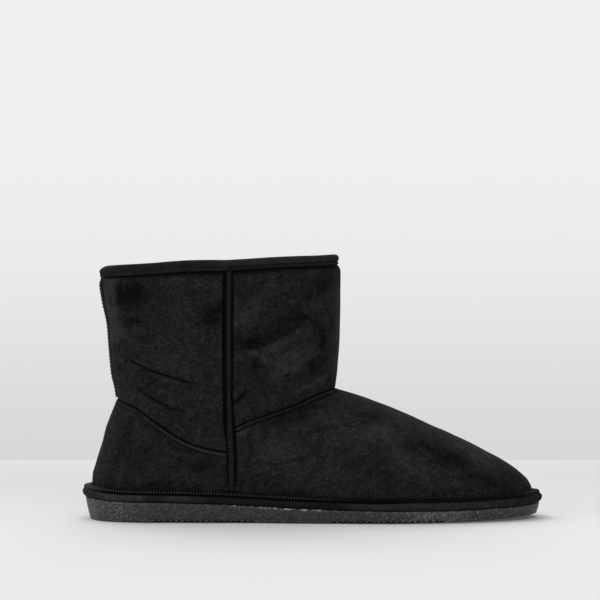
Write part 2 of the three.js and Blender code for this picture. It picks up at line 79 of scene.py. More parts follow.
# The shaft: height from the throat as a share of its rise, back, front, half width
SHAFT = (
    (-0.93, 0.1440, 0.4740, 0.620), (-0.67, 0.1210, 0.4970, 0.740),
    (-0.39, 0.0920, 0.5235, 0.850), (-0.11, 0.0610, 0.5440, 0.900),
    (0.02, 0.0545, 0.5510, 0.912), (0.12, 0.0480, 0.5530, 0.925),
    (0.32, 0.0425, 0.5574, 0.950), (0.52, 0.0380, 0.5598, 0.972),
    (0.72, 0.0265, 0.5608, 0.990), (0.88, 0.0200, 0.5608, 1.000),
    (1.20, 0.0160, 0.5590, 1.005),
)
# Line of the heel quarter's edge, which runs on to the toe: place, share of the heel seam's height
QUARTER_LINE = (
    (0.058, 1.000), (0.105, 0.917), (0.141, 0.808), (0.174, 0.707), (0.201, 0.633),
    (0.231, 0.573), (0.268, 0.527), (0.320, 0.495), (0.460, 0.470), (0.700, 0.445),
    (0.940, 0.430),
)
# Line of the vamp's edge, which comes from the back: place, share of the instep's height
VAMP_LINE = (
    (0.050, 1.060), (0.120, 0.890), (0.180, 0.760), (0.250, 0.675), (0.310, 0.655),
    (0.367, 0.740), (0.423, 0.815), (0.468, 0.880), (0.508, 0.948), (0.551, 1.000),
)
# Top of the sole: place, share of the heel's thickness
SOLE_TOP = (
    (-0.030, 1.000), (0.000, 0.997), (0.050, 0.935), (0.100, 0.905), (0.150, 0.900), (0.290, 0.834),
    (0.380, 0.746), (0.500, 0.640), (0.650, 0.570), (0.800, 0.552), (0.900, 0.600), (0.965, 0.650),
    (1.030, 0.740),
)
# Lift of the tread: place, share of the toe spring
SOLE_BOTTOM = (
    (0.00, 0.00), (0.66, 0.00), (0.76, 0.08), (0.845, 0.31), (0.906, 0.56), (0.94, 0.80), (0.98, 1.00),
    (1.02, 1.20),
)
# Top line of the shaft: share of the way from back to front, rise in millimetres
COLLAR_LINE = (
    (0.000, 0.00), (0.145, 0.80), (0.226, 1.38), (0.307, 2.28), (0.388, 2.93), (0.469, 3.12),
    (0.526, 3.05), (0.600, 3.58), (0.725, 4.78), (0.826, 5.52), (0.915, 6.05), (1.000, 7.10),
)
# Stretches of the sole that carry cross grooves: from, to
TREAD_ZONES = ((0.150, 0.365), (0.545, 0.790))
# Lips beside a fold's trough: share of its depth, then distance and width as multiples of its width
LIPS = ((0.50, 2.4, 1.7), (0.30, -2.6, 1.9))
# Share of a streak over which it fades at each end, and the power of a patch's edge
STROKE_END = 0.12
SPOT_EDGE = 1.4
LINT_TONE = 0.10
SHEEN_TONE = 0.8
FULL_TURN = 2 * math.pi
TINY = 1e-12
# Points of a line that is measured finely, and more finely
FINE = 4001
FINER = 6001
# Level of the collar
TOP = 3.0


def mix(a: Array, b: Array, share: Array) -> Array:
    """Goes from a to b by a share."""
    return a + (b - a) * share


def smooth(share: Array) -> Array:
    """Eases a share from 0 to 1."""
    held = np.clip(share, 0.0, 1.0)
    return held * held * (3.0 - 2.0 * held)


def ramp_up(value: Array, start: float, run: float) -> Array:
    """Eases from 0 at a start to 1 over a run."""
    return smooth((value - start) / run)


def ramp_down(value: Array, end: float, run: float) -> Array:
    """Eases from 1 to 0, which it reaches at an end, over a run."""
    return smooth((end - value) / run)


def bell(distance: Array, width: float) -> Array:
    """A soft bump of height 1 over a line."""
    return np.exp(-((distance / width) ** 2))


def unit(vectors: Array) -> Array:
    """Gives each vector the length 1."""
    return vectors / np.maximum(np.linalg.norm(vectors, axis=-1, keepdims=True), TINY)


def lengths_along(points: Array, weight: Array | float = 1.0) -> Array:
    """Length passed at each point of a row of points."""
    steps_between = np.linalg.norm(np.diff(points, axis=0), axis=1)
    return np.concatenate([[0.0], np.cumsum(steps_between * weight)])


def respace(angles: Array, points: Array, count: int, weight: Array | float = 1.0) -> Array:
    """Angles of even steps along a row of points."""
    along = lengths_along(points, weight)
    return np.interp(np.linspace(0.0, along[-1], count), along, angles)


def even_steps(points: Array, pitch: float) -> Array:
    """Places of even steps along a row of points, as fractions of its index."""
    along = lengths_along(points)
    count = max(1, round(along[-1] / pitch))
    wanted = (np.arange(count) + 0.5) / count * along[-1]
    return np.interp(wanted, along, np.arange(len(points)))


def between(places: Array, rows: Array) -> Array:
    """Points between the rows of a table, at fractions of its index."""
    index = np.arange(len(rows))
    return np.stack([np.interp(places, index, rows[:, axis]) for axis in range(3)], axis=-1)


def front_share(angle: Array) -> Array:
    """Share of the way from back to front that an angle round the last stands for."""
    return (1 - np.cos(angle)) / 2


def side_sign(angle: Array) -> Array:
    """The side that an angle round the last lies on: -1 outer, 1 inner."""
    return np.where(np.sin(angle) >= 0, -1.0, 1.0)


def ribs_at(phase: Array) -> Array:
    """Ribs from 0 to 1, one to each whole step of the phase."""
    return 0.5 + 0.5 * np.cos(2 * math.pi * phase)


class Curve:
    """A smooth curve through the rows of a table that never overshoots them."""

    def __init__(self, rows: tuple, column: int = 1) -> None:
        """Reads the places from the first column and the values from another."""
        self.x = np.array([row[0] for row in rows])
        self.y = np.array([row[column] for row in rows])
        rise = np.diff(self.y) / np.diff(self.x)
        self.slope = np.zeros(len(self.x))
        self.slope[0] = rise[0]
        self.slope[-1] = rise[-1]
        before, after = rise[:-1], rise[1:]
        same = before * after > 0
        total = np.where(same, before + after, 1.0)
        self.slope[1:-1] = np.where(same, 2 * before * after / total, 0.0)

    def __call__(self, at: Array) -> Array:
        """Value of the curve at one place or at many."""
        place = np.asarray(at, dtype=float)
        i = np.clip(np.searchsorted(self.x, place) - 1, 0, len(self.x) - 2)
        step = self.x[i + 1] - self.x[i]
        t = np.clip((place - self.x[i]) / step, 0.0, 1.0)
        u = 1.0 - t
        ends = self.y[i] * u * u * (1 + 2 * t) + self.y[i + 1] * t * t * (3 - 2 * t)
        return ends + step * (self.slope[i] * t * u * u - self.slope[i + 1] * t * t * u)


@dataclass
class Last:
    """The form that the upper is drawn over, and where the sole's faces lie."""

    foot_length: float = 263.6
    ball_width: float = 91.0
    instep_height: float = 66.2
    heel_seam_height: float = 59.4
    shaft_rise: float = 73.2
    shaft_width: float = 88.0
    toe_swing: float = 7.0
    swing_from: float = 0.45
    swing_run: float = 0.55
    heel_thickness: float = 13.4
    toe_spring: float = 2.4
    gap: float = 0.3
    side_seam: float = 0.3165
    throat: float = 0.551
    least_flank: float = 8.0
    welt_width: float = 5.5
    dome_power: float = 2.6
    shaft_power: float = 2.15
    merge_power: float = 10.0
    curves: dict[str, Curve] = field(init=False)
    shift: Array = field(init=False)

    def __post_init__(self) -> None:
        """Makes the curves, and finds the middle of the part's box."""
        self.curves = {
            "outer": Curve(OUTLINE), "inner": Curve(OUTLINE, 2), "ridge": Curve(RIDGE),
            "heel": Curve(HEEL_LINE), "back": Curve(SHAFT), "front": Curve(SHAFT, 2),
            "width": Curve(SHAFT, 3), "quarter": Curve(QUARTER_LINE), "vamp": Curve(VAMP_LINE),
            "top": Curve(SOLE_TOP), "bottom": Curve(SOLE_BOTTOM), "collar": Curve(COLLAR_LINE),
        }
        self.ridge_x = np.linspace(0.0, self.foot_length, FINE)
        self.ridge_z = self.ridge_height(self.ridge_x)
        self.seat = float(self.sole_top(self.seam_x)) + self.gap
        quarter_end = self.heel_seam_height * float(self.curves["quarter"](1.0))
        self.quarter_back = float(self.foot_back(self.heel_seam_height)) / self.foot_length
        self.quarter_front = float(self.foot_front(quarter_end)) / self.foot_length
        rim = self.outline(np.linspace(0.0, FULL_TURN, FINE), self.welt_width)
        middle = (rim.min(axis=0) + rim.max(axis=0)) / 2
        self.shift = np.array([-middle[0], -middle[1], 0.0])

    @property
    def seam_x(self) -> float:
        """Place of the side seams along the shoe."""
        return self.side_seam * self.foot_length

    def sole_top(self, x: Array) -> Array:
        """Height of the sole's upper face over the floor."""
        return self.heel_thickness * self.curves["top"](x / self.foot_length)

    def sole_bottom(self, x: Array) -> Array:
        """Height of the tread over the floor."""
        return self.toe_spring * self.curves["bottom"](x / self.foot_length)

    def upper_z(self, x: Array, height: Array) -> Array:
        """Height over the floor of a height over the sole."""
        share = np.clip(height / self.instep_height, 0.0, 1.0)
        return height + mix(self.sole_top(x) + self.gap, self.seat, share)

    def ridge_height(self, x: Array) -> Array:
        """Top line of the foot."""
        return self.instep_height * self.curves["ridge"](x / self.foot_length)

    def foot_back(self, height: Array) -> Array:
        """Back line of the heel."""
        return self.foot_length * self.curves["heel"](height / self.heel_seam_height)

    def foot_front(self, height: Array) -> Array:
        """Front of the foot at a height."""
        return np.interp(height, self.ridge_z[::-1], self.ridge_x[::-1])

    def shaft_share(self, height: Array) -> Array:
        """Height from the throat, as a share of the shaft's rise."""
        return (height - self.instep_height) / self.shaft_rise

    def shaft_back(self, height: Array) -> Array:
        """Back line of the shaft."""
        return self.foot_length * self.curves["back"](self.shaft_share(height))

    def shaft_front(self, height: Array) -> Array:
        """Front line of the shaft."""
        return self.foot_length * self.curves["front"](self.shaft_share(height))

    def middle_line(self, x: Array) -> Array:
        """Swing of the foot to its inner side towards the toe."""
        return self.toe_swing * smooth((x / self.foot_length - self.swing_from) / self.swing_run)

    def half_width(self, x: Array, height: Array, sign: Array) -> Array:
        """Half width of the upper on its outer (-1) or inner (+1) side."""
        back = self.foot_back(height)
        along = (x - back) / (self.foot_length - back)
        rise = height / self.ridge_height(x)
        inside = (along > 0) & (along < 1) & (rise < 1)
        along = np.clip(along, 0.0, 1.0)
        dome = np.sqrt(1.0 - np.clip(rise, 0.0, 1.0) ** self.dome_power)
        plan = np.where(sign < 0, self.curves["outer"](along), self.curves["inner"](along))
        foot = self.ball_width * np.sqrt(along * (1 - along)) * plan * dome * inside
        start, end = self.shaft_back(height), self.shaft_front(height)
        across = np.clip(np.abs(2 * (x - start) / (end - start) - 1), 0.0, 1.0)
        shaft = self.shaft_width / 2 * self.curves["width"](self.shaft_share(height))
        shaft = shaft * np.sqrt(1 - across**self.shaft_power)
        power = self.merge_power
        return (foot**power + shaft**power) ** (1 / power)

    def skin_at(self, x: Array, height: Array, sign: Array) -> Array:
        """Point of the outer skin at a place of the side view."""
        x, height, sign = np.broadcast_arrays(x, height, sign)
        y = self.middle_line(x) + sign * self.half_width(x, height, sign)
        return np.stack([x, y, self.upper_z(x, height)], axis=-1)

    def collar_height(self, share: Array) -> Array:
        """Height of the collar by the share of the way from back to front."""
        return self.instep_height + self.shaft_rise + self.curves["collar"](share)

    def lines_at(self, share: Array) -> tuple[Array, Array, Array]:
        """Heights of the quarter's line, the vamp's line and the collar."""
        quarter_place = mix(self.quarter_back, self.quarter_front, share)
        quarter = self.heel_seam_height * self.curves["quarter"](quarter_place)
        vamp_place = mix(self.quarter_back, self.throat, share)
        vamp = self.instep_height * self.curves["vamp"](vamp_place)
        return quarter, np.maximum(vamp, quarter + self.least_flank), self.collar_height(share)

    def height_of(self, share: Array, level: Array) -> Array:
        """Height of a level: 0 foot, 1 quarter's line, 2 vamp's line, 3 collar."""
        quarter, vamp, collar = self.lines_at(share)
        flank = mix(quarter, vamp, level - 1)
        shaft = mix(vamp, collar, level - 2)
        return np.where(level < 1, quarter * level, np.where(level < 2, flank, shaft))

    def level_of(self, share: Array, height: Array) -> Array:
        """Level of a height, at a share of the way from back to front."""
        quarter, vamp, collar = self.lines_at(share)
        flank = 1 + (height - quarter) / (vamp - quarter)
        shaft = 2 + (height - vamp) / (collar - vamp)
        return np.where(height < quarter, height / quarter, np.where(height < vamp, flank, shaft))

    def skin(self, angle: Array, level: Array, drop: Array = 0.0) -> Array:
        """Outer skin: the angle runs from the back over the outer side to the toe and home."""
        angle, level, drop = np.broadcast_arrays(angle, level, drop)
        share = front_share(angle)
        sign = side_sign(angle)
        low = self.height_of(np.zeros_like(share), level) - drop
        high = self.height_of(np.ones_like(share), level) - drop
        back = np.minimum(self.shaft_back(low), self.foot_back(low))
        front = np.maximum(self.shaft_front(high), self.foot_front(high))
        return self.skin_at(mix(back, front, share), self.height_of(share, level) - drop, sign)

    def normal(self, angle: Array, level: Array, drop: Array = 0.0) -> Array:
        """Outward direction of the skin."""
        turn, climb = 0.012, 0.008
        low, high = np.clip(level - climb, 0, 3), np.clip(level + climb, 0, 3)
        around = self.skin(angle + turn, level, drop) - self.skin(angle - turn, level, drop)
        up = self.skin(angle, high, drop) - self.skin(angle, low, drop)
        return unit(np.cross(around, up))

    def under(self, angle: Array, level: Array, depth: Array, drop: Array = 0.0) -> Array:
        """Point under the skin by a depth along its outward direction."""
        depth = np.asarray(depth, dtype=float)[..., None]
        return self.skin(angle, level, drop) - self.normal(angle, level, drop) * depth

    def outline(self, angle: Array, out: Array) -> Array:
        """Outline of the upper's foot, moved out sideways."""
        turn = 0.012
        along = self.skin(angle + turn, 0.0) - self.skin(angle - turn, 0.0)
        along[..., 2] = 0.0
        along = unit(along)
        across = np.stack([along[..., 1], -along[..., 0], np.zeros_like(along[..., 0])], axis=-1)
        return self.skin(angle, 0.0) + across * np.asarray(out, dtype=float)[..., None]

    def side_normal(self, x: Array, height: Array, sign: float) -> Array:
        """Outward direction of the skin at a place of the side view."""
        step = 0.5
        along = self.skin_at(x + step, height, sign) - self.skin_at(x - step, height, sign)
        up = self.skin_at(x, height + step, sign) - self.skin_at(x, height - step, sign)
        return unit(np.cross(along, up)) * -sign

    def to_frame(self, points: Array) -> Array:
        """Turns millimetres of the last into metres of the part's frame."""
        return (points + self.shift) * MM


class Side(Enum):
    """The sides of the shoe that a fold or a patch shows on."""

    OUTER = -1.0
    INNER = 1.0
    BOTH = 0.0

    def covers(self, sign: Array) -> Array:
        """1 where a side is covered, 0 elsewhere."""
        return np.ones_like(sign) if self is Side.BOTH else (sign == self.value).astype(float)


def line_distance(x: Array, z: Array, points: tuple) -> tuple[Array, Array]:
    """Measures places of the side view against a line.

    Args:
        x: places along the shoe.
        z: heights over the floor.
        points: the line's points, as place and height.

    Returns:
        The distance, above 0 over the line, and the share of the line's length.
    """
    corners = np.array(points, dtype=float)
    steps = np.linalg.norm(np.diff(corners, axis=0), axis=1)
    passed = np.concatenate([[0.0], np.cumsum(steps)])
    best = np.full(x.shape, np.inf)
    signed = np.zeros(x.shape)
    share = np.zeros(x.shape)
    for i, length in enumerate(steps):
        direction = (corners[i + 1] - corners[i]) / length
        from_x, from_z = x - corners[i, 0], z - corners[i, 1]
        along = np.clip(from_x * direction[0] + from_z * direction[1], 0.0, length)
        off_x, off_z = from_x - along * direction[0], from_z - along * direction[1]
        distance = np.hypot(off_x, off_z)
        above = np.where(off_z * direction[0] - off_x * direction[1] >= 0, 1.0, -1.0)
        nearer = distance < best
        best = np.where(nearer, distance, best)
        signed = np.where(nearer, distance * above, signed)
        share = np.where(nearer, (passed[i] + along) / passed[-1], share)
    return signed, share


@dataclass(frozen=True)
class Crease:
    """A fold in the suede: a trough with a raised lip on each side."""

    points: tuple
    depth: float
    width: float
    side: Side = Side.BOTH
    start: float = 0.15
    fade: float = 0.35

    def relief(self, x: Array, z: Array, sign: Array) -> Array:
        """Height that the fold gives each place."""
        off, share = line_distance(x, z, self.points)
        taper = smooth(share / self.start) * smooth((1 - share) / self.fade)
        fold = -bell(off, self.width)
        for height, away, wide in LIPS:
            fold = fold + height * bell(off - away * self.width, wide * self.width)
        return self.depth * taper * fold * self.side.covers(sign)


@dataclass(frozen=True)
class Stroke:
    """A brushed streak in the nap, darker or lighter than what lies round it."""

    points: tuple
    tone: float
    above: float
    below: float
    side: Side = Side.OUTER
    stray: float = 1.0

    def shade(self, x: Array, z: Array, sign: Array) -> Array:
        """Tone that the streak gives each place."""
        off, share = line_distance(x, z, self.points)
        ends = smooth(share / STROKE_END) * smooth((1 - share) / STROKE_END)
        width = np.where(off > 0, self.above, self.below)
        return self.tone * ends * bell(off, width) * self.side.covers(sign)


@dataclass(frozen=True)
class Spot:
    """A soft patch in the nap."""

    x: float
    z: float
    long: float
    tall: float
    tone: float
    tilt: float = 0.0
    side: Side = Side.OUTER
    stray: float = 1.0

    def shade(self, x: Array, z: Array, sign: Array) -> Array:
        """Tone that the patch gives each place."""
        turn = math.radians(self.tilt)
        across = (x - self.x) * math.cos(turn) + (z - self.z) * math.sin(turn)
        over = (z - self.z) * math.cos(turn) - (x - self.x) * math.sin(turn)
        reach = (across / self.long) ** 2 + (over / self.tall) ** 2
        return self.tone * np.exp(-(reach**SPOT_EDGE)) * self.side.covers(sign)


# Folds placed in the side view, their points as place and height
CREASES = (
    Crease(((22.5, 95.8), (27.0, 93.2), (36.6, 88.6), (48.3, 85.3), (59.9, 81.9), (74.0, 78.9)),
           depth=1.05, width=0.75, start=0.06, fade=0.40),
    Crease(((15.5, 88.8), (19.5, 92.0), (24.6, 96.0)), depth=0.60, width=0.7),
    Crease(((26.0, 79.6), (31.5, 76.0), (39.2, 71.4), (50.0, 66.4), (58.0, 65.0), (67.0, 64.6)),
           depth=0.75, width=1.05, start=0.08, fade=0.45),
    Crease(((31.0, 77.4), (36.5, 80.8), (43.5, 86.2)), depth=0.75, width=0.9),
    Crease(((83.0, 69.0), (87.0, 70.8), (90.0, 74.0), (94.5, 79.5)), depth=0.85, width=1.5),
    Crease(((104.0, 32.5), (120.0, 36.5), (141.0, 43.5)), depth=0.35, width=1.6),
    Crease(((92.0, 57.0), (95.0, 50.0), (96.5, 43.0)), depth=0.40, width=1.4),
    Crease(((101.0, 60.0), (104.0, 53.0), (105.0, 47.0)), depth=0.35, width=1.4),
    Crease(((47.0, 45.0), (58.0, 41.5), (70.0, 40.5)), depth=0.30, width=1.5),
    Crease(((128.0, 52.0), (140.0, 56.0), (152.0, 57.0)), depth=0.30, width=1.8),
    Crease(((24.0, 73.0), (34.0, 66.0), (47.0, 60.0)), depth=0.30, width=1.5, side=Side.INNER),
    Crease(((110.0, 78.0), (124.0, 81.0), (138.0, 86.0)), depth=0.35, width=1.6, side=Side.INNER),
)
# Brushed patches and streaks placed in the side view
# Two streaks that cover both sides paint highlights along the shaft's back and front edges.
NAP = (
    Stroke(((87.5, 105.0), (91.0, 102.0), (98.0, 102.2), (106.5, 105.5), (119.6, 112.2), (126.0, 117.5),
            (130.0, 122.0)), tone=-0.60, above=13.0, below=0.6, stray=0.1),
    Stroke(((91.0, 100.5), (98.0, 100.4), (107.0, 103.4), (120.0, 110.0), (127.0, 116.0)), tone=0.45,
           above=0.6, below=2.6, stray=0.1),
    Spot(94.0, 106.0, 7.0, 3.4, -0.60, tilt=-5.0, stray=0.4),
    Stroke(((87.0, 112.0), (92.0, 121.0), (101.5, 131.5), (112.0, 142.5)), tone=0.42, above=4.0, below=4.5,
           stray=0.4),
    Spot(103.0, 136.0, 14.0, 8.0, -0.20),
    Spot(128.0, 135.5, 8.0, 4.5, -0.30, tilt=35.0),
    Spot(139.5, 139.0, 3.6, 6.5, -0.60, tilt=-20.0),
    Stroke(((126.5, 121.5), (130.5, 118.5), (134.5, 114.5)), tone=-0.75, above=0.9, below=0.9, stray=0.1),
    Spot(137.8, 107.0, 2.8, 6.5, -0.95, tilt=-8.0, stray=0.6),
    Spot(133.0, 91.3, 5.0, 2.4, -0.80, tilt=25.0, stray=0.6),
    Spot(117.5, 94.5, 13.0, 8.0, 0.62),
    # Painted highlight along the shaft's front edge
    Stroke(((147.5, 143.0), (148.0, 125.0), (147.5, 105.0), (145.0, 84.0)), tone=1.1, above=3.0,
           below=3.0, side=Side.BOTH, stray=0.2),
    Spot(116.7, 86.2, 1.9, 1.0, -0.90, tilt=30.0, stray=0.2),
    Spot(118.4, 82.6, 1.7, 1.1, -0.90, tilt=30.0, stray=0.2),
    Spot(98.3, 92.5, 4.0, 4.8, -0.70, stray=0.6),
    Stroke(((100.5, 98.5), (106.0, 90.0), (113.0, 80.5)), tone=0.30, above=1.0, below=1.0, stray=0.3),
    Stroke(((119.0, 75.5), (131.0, 80.0), (141.0, 86.5)), tone=0.50, above=2.0, below=2.0, stray=0.4),
    Spot(23.5, 133.0, 10.0, 8.5, -1.15, tilt=5.0, stray=0.6),
    Spot(25.5, 117.8, 7.0, 2.6, -0.80, stray=0.6),
    Spot(37.0, 137.0, 8.0, 4.0, -0.35, tilt=-10.0),
    Spot(53.0, 144.0, 10.0, 1.9, 0.55),
    # Painted highlight along the shaft's back edge
    Stroke(((10.5, 146.0), (11.5, 132.0), (14.0, 118.0), (15.5, 103.0)), tone=0.75, above=5.5,
           below=5.5, side=Side.BOTH),
    Spot(74.5, 121.5, 7.5, 8.0, -1.00, tilt=-35.0, stray=0.6),
    Spot(72.5, 106.0, 3.0, 7.0, 0.35),
    Spot(35.0, 108.5, 8.0, 2.5, -0.35, tilt=30.0),
    Spot(122.0, 64.3, 14.0, 4.2, -0.60, tilt=12.0, stray=0.5),
    Spot(91.5, 53.5, 3.8, 2.2, 0.95, tilt=50.0, stray=0.3),
    Spot(166.5, 62.2, 4.0, 1.2, -0.75, tilt=8.0, stray=0.3),
    Spot(163.0, 34.0, 13.0, 9.0, -0.25),
    Stroke(((181.0, 47.5), (190.0, 44.5), (205.0, 42.0), (217.0, 37.5), (222.0, 28.5)), tone=-0.60,
           above=3.0, below=3.0),
    Spot(201.5, 35.0, 5.0, 1.8, -0.50, stray=0.5),
    Spot(226.0, 27.0, 6.0, 3.0, -0.45),
    Spot(238.0, 22.5, 9.0, 3.5, -0.40, tilt=-15.0),
    Spot(197.0, 29.5, 7.0, 6.5, 0.40),
    Spot(212.0, 35.5, 6.5, 5.0, -0.55),
    Spot(182.0, 38.0, 7.0, 5.0, 0.40),
    Stroke(((215.0, 46.5), (228.0, 39.0), (240.0, 31.0)), tone=0.35, above=2.5, below=2.5),
    Spot(150.0, 55.0, 20.0, 9.0, 0.35, tilt=-20.0),
    Spot(176.0, 50.0, 15.0, 7.0, 0.50, tilt=-25.0),
    Spot(110.0, 42.0, 16.0, 11.0, 0.35),
    Spot(140.0, 30.0, 14.0, 8.0, 0.25),
    Spot(116.0, 18.5, 10.0, 1.6, -0.50),
    Spot(40.0, 22.5, 7.0, 2.2, -0.60),
    Spot(65.0, 35.0, 10.0, 4.5, -0.40, tilt=10.0),
    Spot(44.0, 55.0, 7.0, 6.0, -0.45, tilt=-30.0),
    Spot(31.0, 38.0, 10.0, 8.0, -0.20),
    Spot(19.0, 45.0, 4.0, 14.0, -0.40, tilt=-12.0),
    Spot(30.0, 120.0, 11.0, 6.0, -0.7, tilt=25.0, side=Side.INNER),
    Spot(110.0, 118.0, 16.0, 7.0, -0.7, tilt=-30.0, side=Side.INNER),
    Spot(60.0, 95.0, 14.0, 8.0, 0.5, side=Side.INNER),
    Spot(170.0, 45.0, 17.0, 7.0, -0.6, tilt=-20.0, side=Side.INNER),
    Spot(140.0, 30.0, 12.0, 8.0, 0.45, side=Side.INNER),
    Spot(222.0, 27.0, 9.0, 6.0, -0.6, side=Side.INNER),
)


@dataclass(frozen=True)
class ThreadSize:
    """Half sizes of one stitch."""

    long: float
    wide: float
    high: float


@dataclass
class Workshop:
    """Bends sheets, lays threads and puts the finished pieces on the part."""

    last: Last
    weld: float = 2e-7
    thread_sides: int = 6
    thread_rings: int = 5
    batch: int = 24

    def sheet(self, name: str, points: Array, values: dict[str, Array],
              ends: bool = False) -> bpy.types.Object:
        """Bends a flat grid to a surface, and joins its edges where they meet.

        Args:
            name: the piece's name.
            points: rows by columns of points, in millimetres.
            values: rows by columns of numbers, kept as vertex attributes.
            ends: whether the open ends of a tube are closed.

        Returns:
            The object, with its UV map across the columns and up the rows.
        """
        rows, columns = points.shape[:2]
        shape = bmesh.new()
        shape.loops.layers.uv.new("UVMap")
        bmesh.ops.create_grid(shape, x_segments=columns - 1, y_segments=rows - 1, size=0.5, calc_uvs=True)
        layers = [shape.verts.layers.float.new(key) for key in values]
        placed = self.last.to_frame(points).reshape(-1, 3).tolist()
        tables = [value.ravel().tolist() for value in values.values()]
        shape.verts.ensure_lookup_table()
        for vert, place, *numbers in zip(shape.verts, placed, *tables):
            vert.co = place
            for layer, number in zip(layers, numbers):
                vert[layer] = number
        rim = [vert for vert in shape.verts if vert.is_boundary]
        bmesh.ops.remove_doubles(shape, verts=rim, dist=self.weld)
        if ends:
            bmesh.ops.holes_fill(shape, edges=[edge for edge in shape.edges if edge.is_boundary], sides=0)
        return self.finish_mesh(name, shape)

    def threads(self, name: str, centres: Array, along: Array, out: Array,
                size: ThreadSize) -> bpy.types.Object:
        """Lays a row of stitches.

        Args:
            name: the piece's name.
            centres: the middle of each stitch, in millimetres.
            along: the direction of each stitch.
            out: the direction away from the cloth.
            size: half sizes of one stitch.

        Returns:
            One object with all the stitches.
        """
        shape = bmesh.new()
        spare = bpy.data.meshes.new("stitches")
        rows = list(zip(self.last.to_frame(centres), unit(along), unit(out)))
        for start in range(0, len(rows), self.batch):
            part = bmesh.new()
            for place, length, normal in rows[start:start + self.batch]:
                axis = Vector(length)
                side = axis.cross(Vector(normal)).normalized()
                up = side.cross(axis)
                turned = Matrix((side * size.wide * MM, up * size.high * MM, axis * size.long * MM))
                matrix = Matrix.Translation(place) @ turned.transposed().to_4x4()
                bmesh.ops.create_uvsphere(part, u_segments=self.thread_sides, v_segments=self.thread_rings,
                                          radius=1.0, matrix=matrix)
            part.to_mesh(spare)
            part.free()
            shape.from_mesh(spare)
        bpy.data.meshes.remove(spare)
        return self.finish_mesh(name, shape)

    def finish_mesh(self, name: str, shape: bmesh.types.BMesh) -> bpy.types.Object:
        """Turns the faces out and makes the object."""
        bmesh.ops.recalc_face_normals(shape, faces=shape.faces[:])
        for face in shape.faces:
            face.smooth = True
        mesh = bpy.data.meshes.new(name)
        shape.to_mesh(mesh)
        shape.free()
        made = bpy.data.objects.new(name, mesh)
        bpy.context.scene.collection.objects.link(made)
        return made

    def put_on(self, piece: bpy.types.Object, material: bpy.types.Material, slot: str, *nodes: str) -> None:
        """Dresses a piece, lets it ride on the part and hides the nodes that it stands for."""
        piece.data.materials.append(material)
        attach(piece, BODY)
        if nodes:
            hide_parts(*nodes)
        logging.info("%s: %d faces", piece.name, len(piece.data.polygons))


class Graph:
    """A node tree that is filled node by node."""

    def __init__(self, tree: bpy.types.NodeTree) -> None:
        """Starts from an empty tree."""
        self.tree = tree
        tree.nodes.clear()

    def add(self, kind: str, inputs: dict | None = None, **settings) -> bpy.types.Node:
        """Adds a node.

        Args:
            kind: the node's type without its ShaderNode prefix, or a full type name.
            inputs: values or sockets for its inputs, by name or number.
            **settings: properties of the node.

        Returns:
            The new node.
        """
        full = kind if kind.startswith("NodeGroup") else "ShaderNode" + kind
        made = self.tree.nodes.new(full)
        for key, value in settings.items():
            setattr(made, key, value)
        for key, value in (inputs or {}).items():
            if isinstance(value, bpy.types.NodeSocket):
                self.tree.links.new(value, made.inputs[key])
            else:
                made.inputs[key].default_value = value
        return made

    def times(self, *values: float | Socket) -> Socket:
        """Multiplies two values."""
        return self.add("Math", dict(enumerate(values)), operation="MULTIPLY").outputs[0]

    def plus(self, *values: float | Socket) -> Socket:
        """Adds two values."""
        return self.add("Math", dict(enumerate(values)), operation="ADD").outputs[0]

    def part(self, vector: Socket, axis: int = 0) -> Socket:
        """Takes one part of a vector or colour."""
        return self.add("SeparateXYZ", {0: vector}).outputs[axis]

    def noise(self, vector: Socket, scale: float | Socket, detail: float, rough: float) -> Socket:
        """Adds a noise and gives its value."""
        inputs = {"Vector": vector, "Scale": scale, "Detail": detail, "Roughness": rough}
        return self.add("TexNoise", inputs).outputs[0]

    def cells(self, vector: Socket, scale: float | Socket, **settings) -> bpy.types.Node:
        """Adds a pattern of cells."""
        return self.add("TexVoronoi", {"Vector": vector, "Scale": scale}, **settings)

    def stretch(self, value: Socket, low: float, high: float, to_low: float = 0.0,
                to_high: float = 1.0) -> Socket:
        """Maps a range of values to another, held at its ends."""
        inputs = {0: value, 1: low, 2: high, 3: to_low, 4: to_high}
        return self.add("MapRange", inputs).outputs[0]

    def scaled(self, value: Socket, low: float, high: float) -> Socket:
        """Maps 0 to 1 to another range."""
        return self.stretch(value, 0.0, 1.0, low, high)

    def blend(self, share: float | Socket, first: tuple | Socket, second: tuple | Socket) -> Socket:
        """Mixes two colours."""
        made = self.add("Mix", {0: share, 6: first, 7: second}, data_type="RGBA")
        return made.outputs[2]


class EffectGraph(Graph):
    """A shared node group, placed by a vector and a scale per metre."""

    def __init__(self, name: str, *outputs: str) -> None:
        """Starts the group with its sockets."""
        tree = bpy.data.node_groups.new(name, "ShaderNodeTree")
        for key, kind in (("Vector", "NodeSocketVector"), ("Per metre", "NodeSocketFloat")):
            tree.interface.new_socket(name=key, in_out="INPUT", socket_type=kind)
        for key in outputs:
            tree.interface.new_socket(name=key, in_out="OUTPUT", socket_type="NodeSocketFloat")
        super().__init__(tree)
        self.place, self.per_metre = self.add("NodeGroupInput").outputs[:2]
        self.out = self.add("NodeGroupOutput")

    def give(self, *values: Socket) -> bpy.types.NodeTree:
        """Links the group's results and hands the group over."""
        for value, socket in zip(values, self.out.inputs):
            self.tree.links.new(value, socket)
        return self.tree


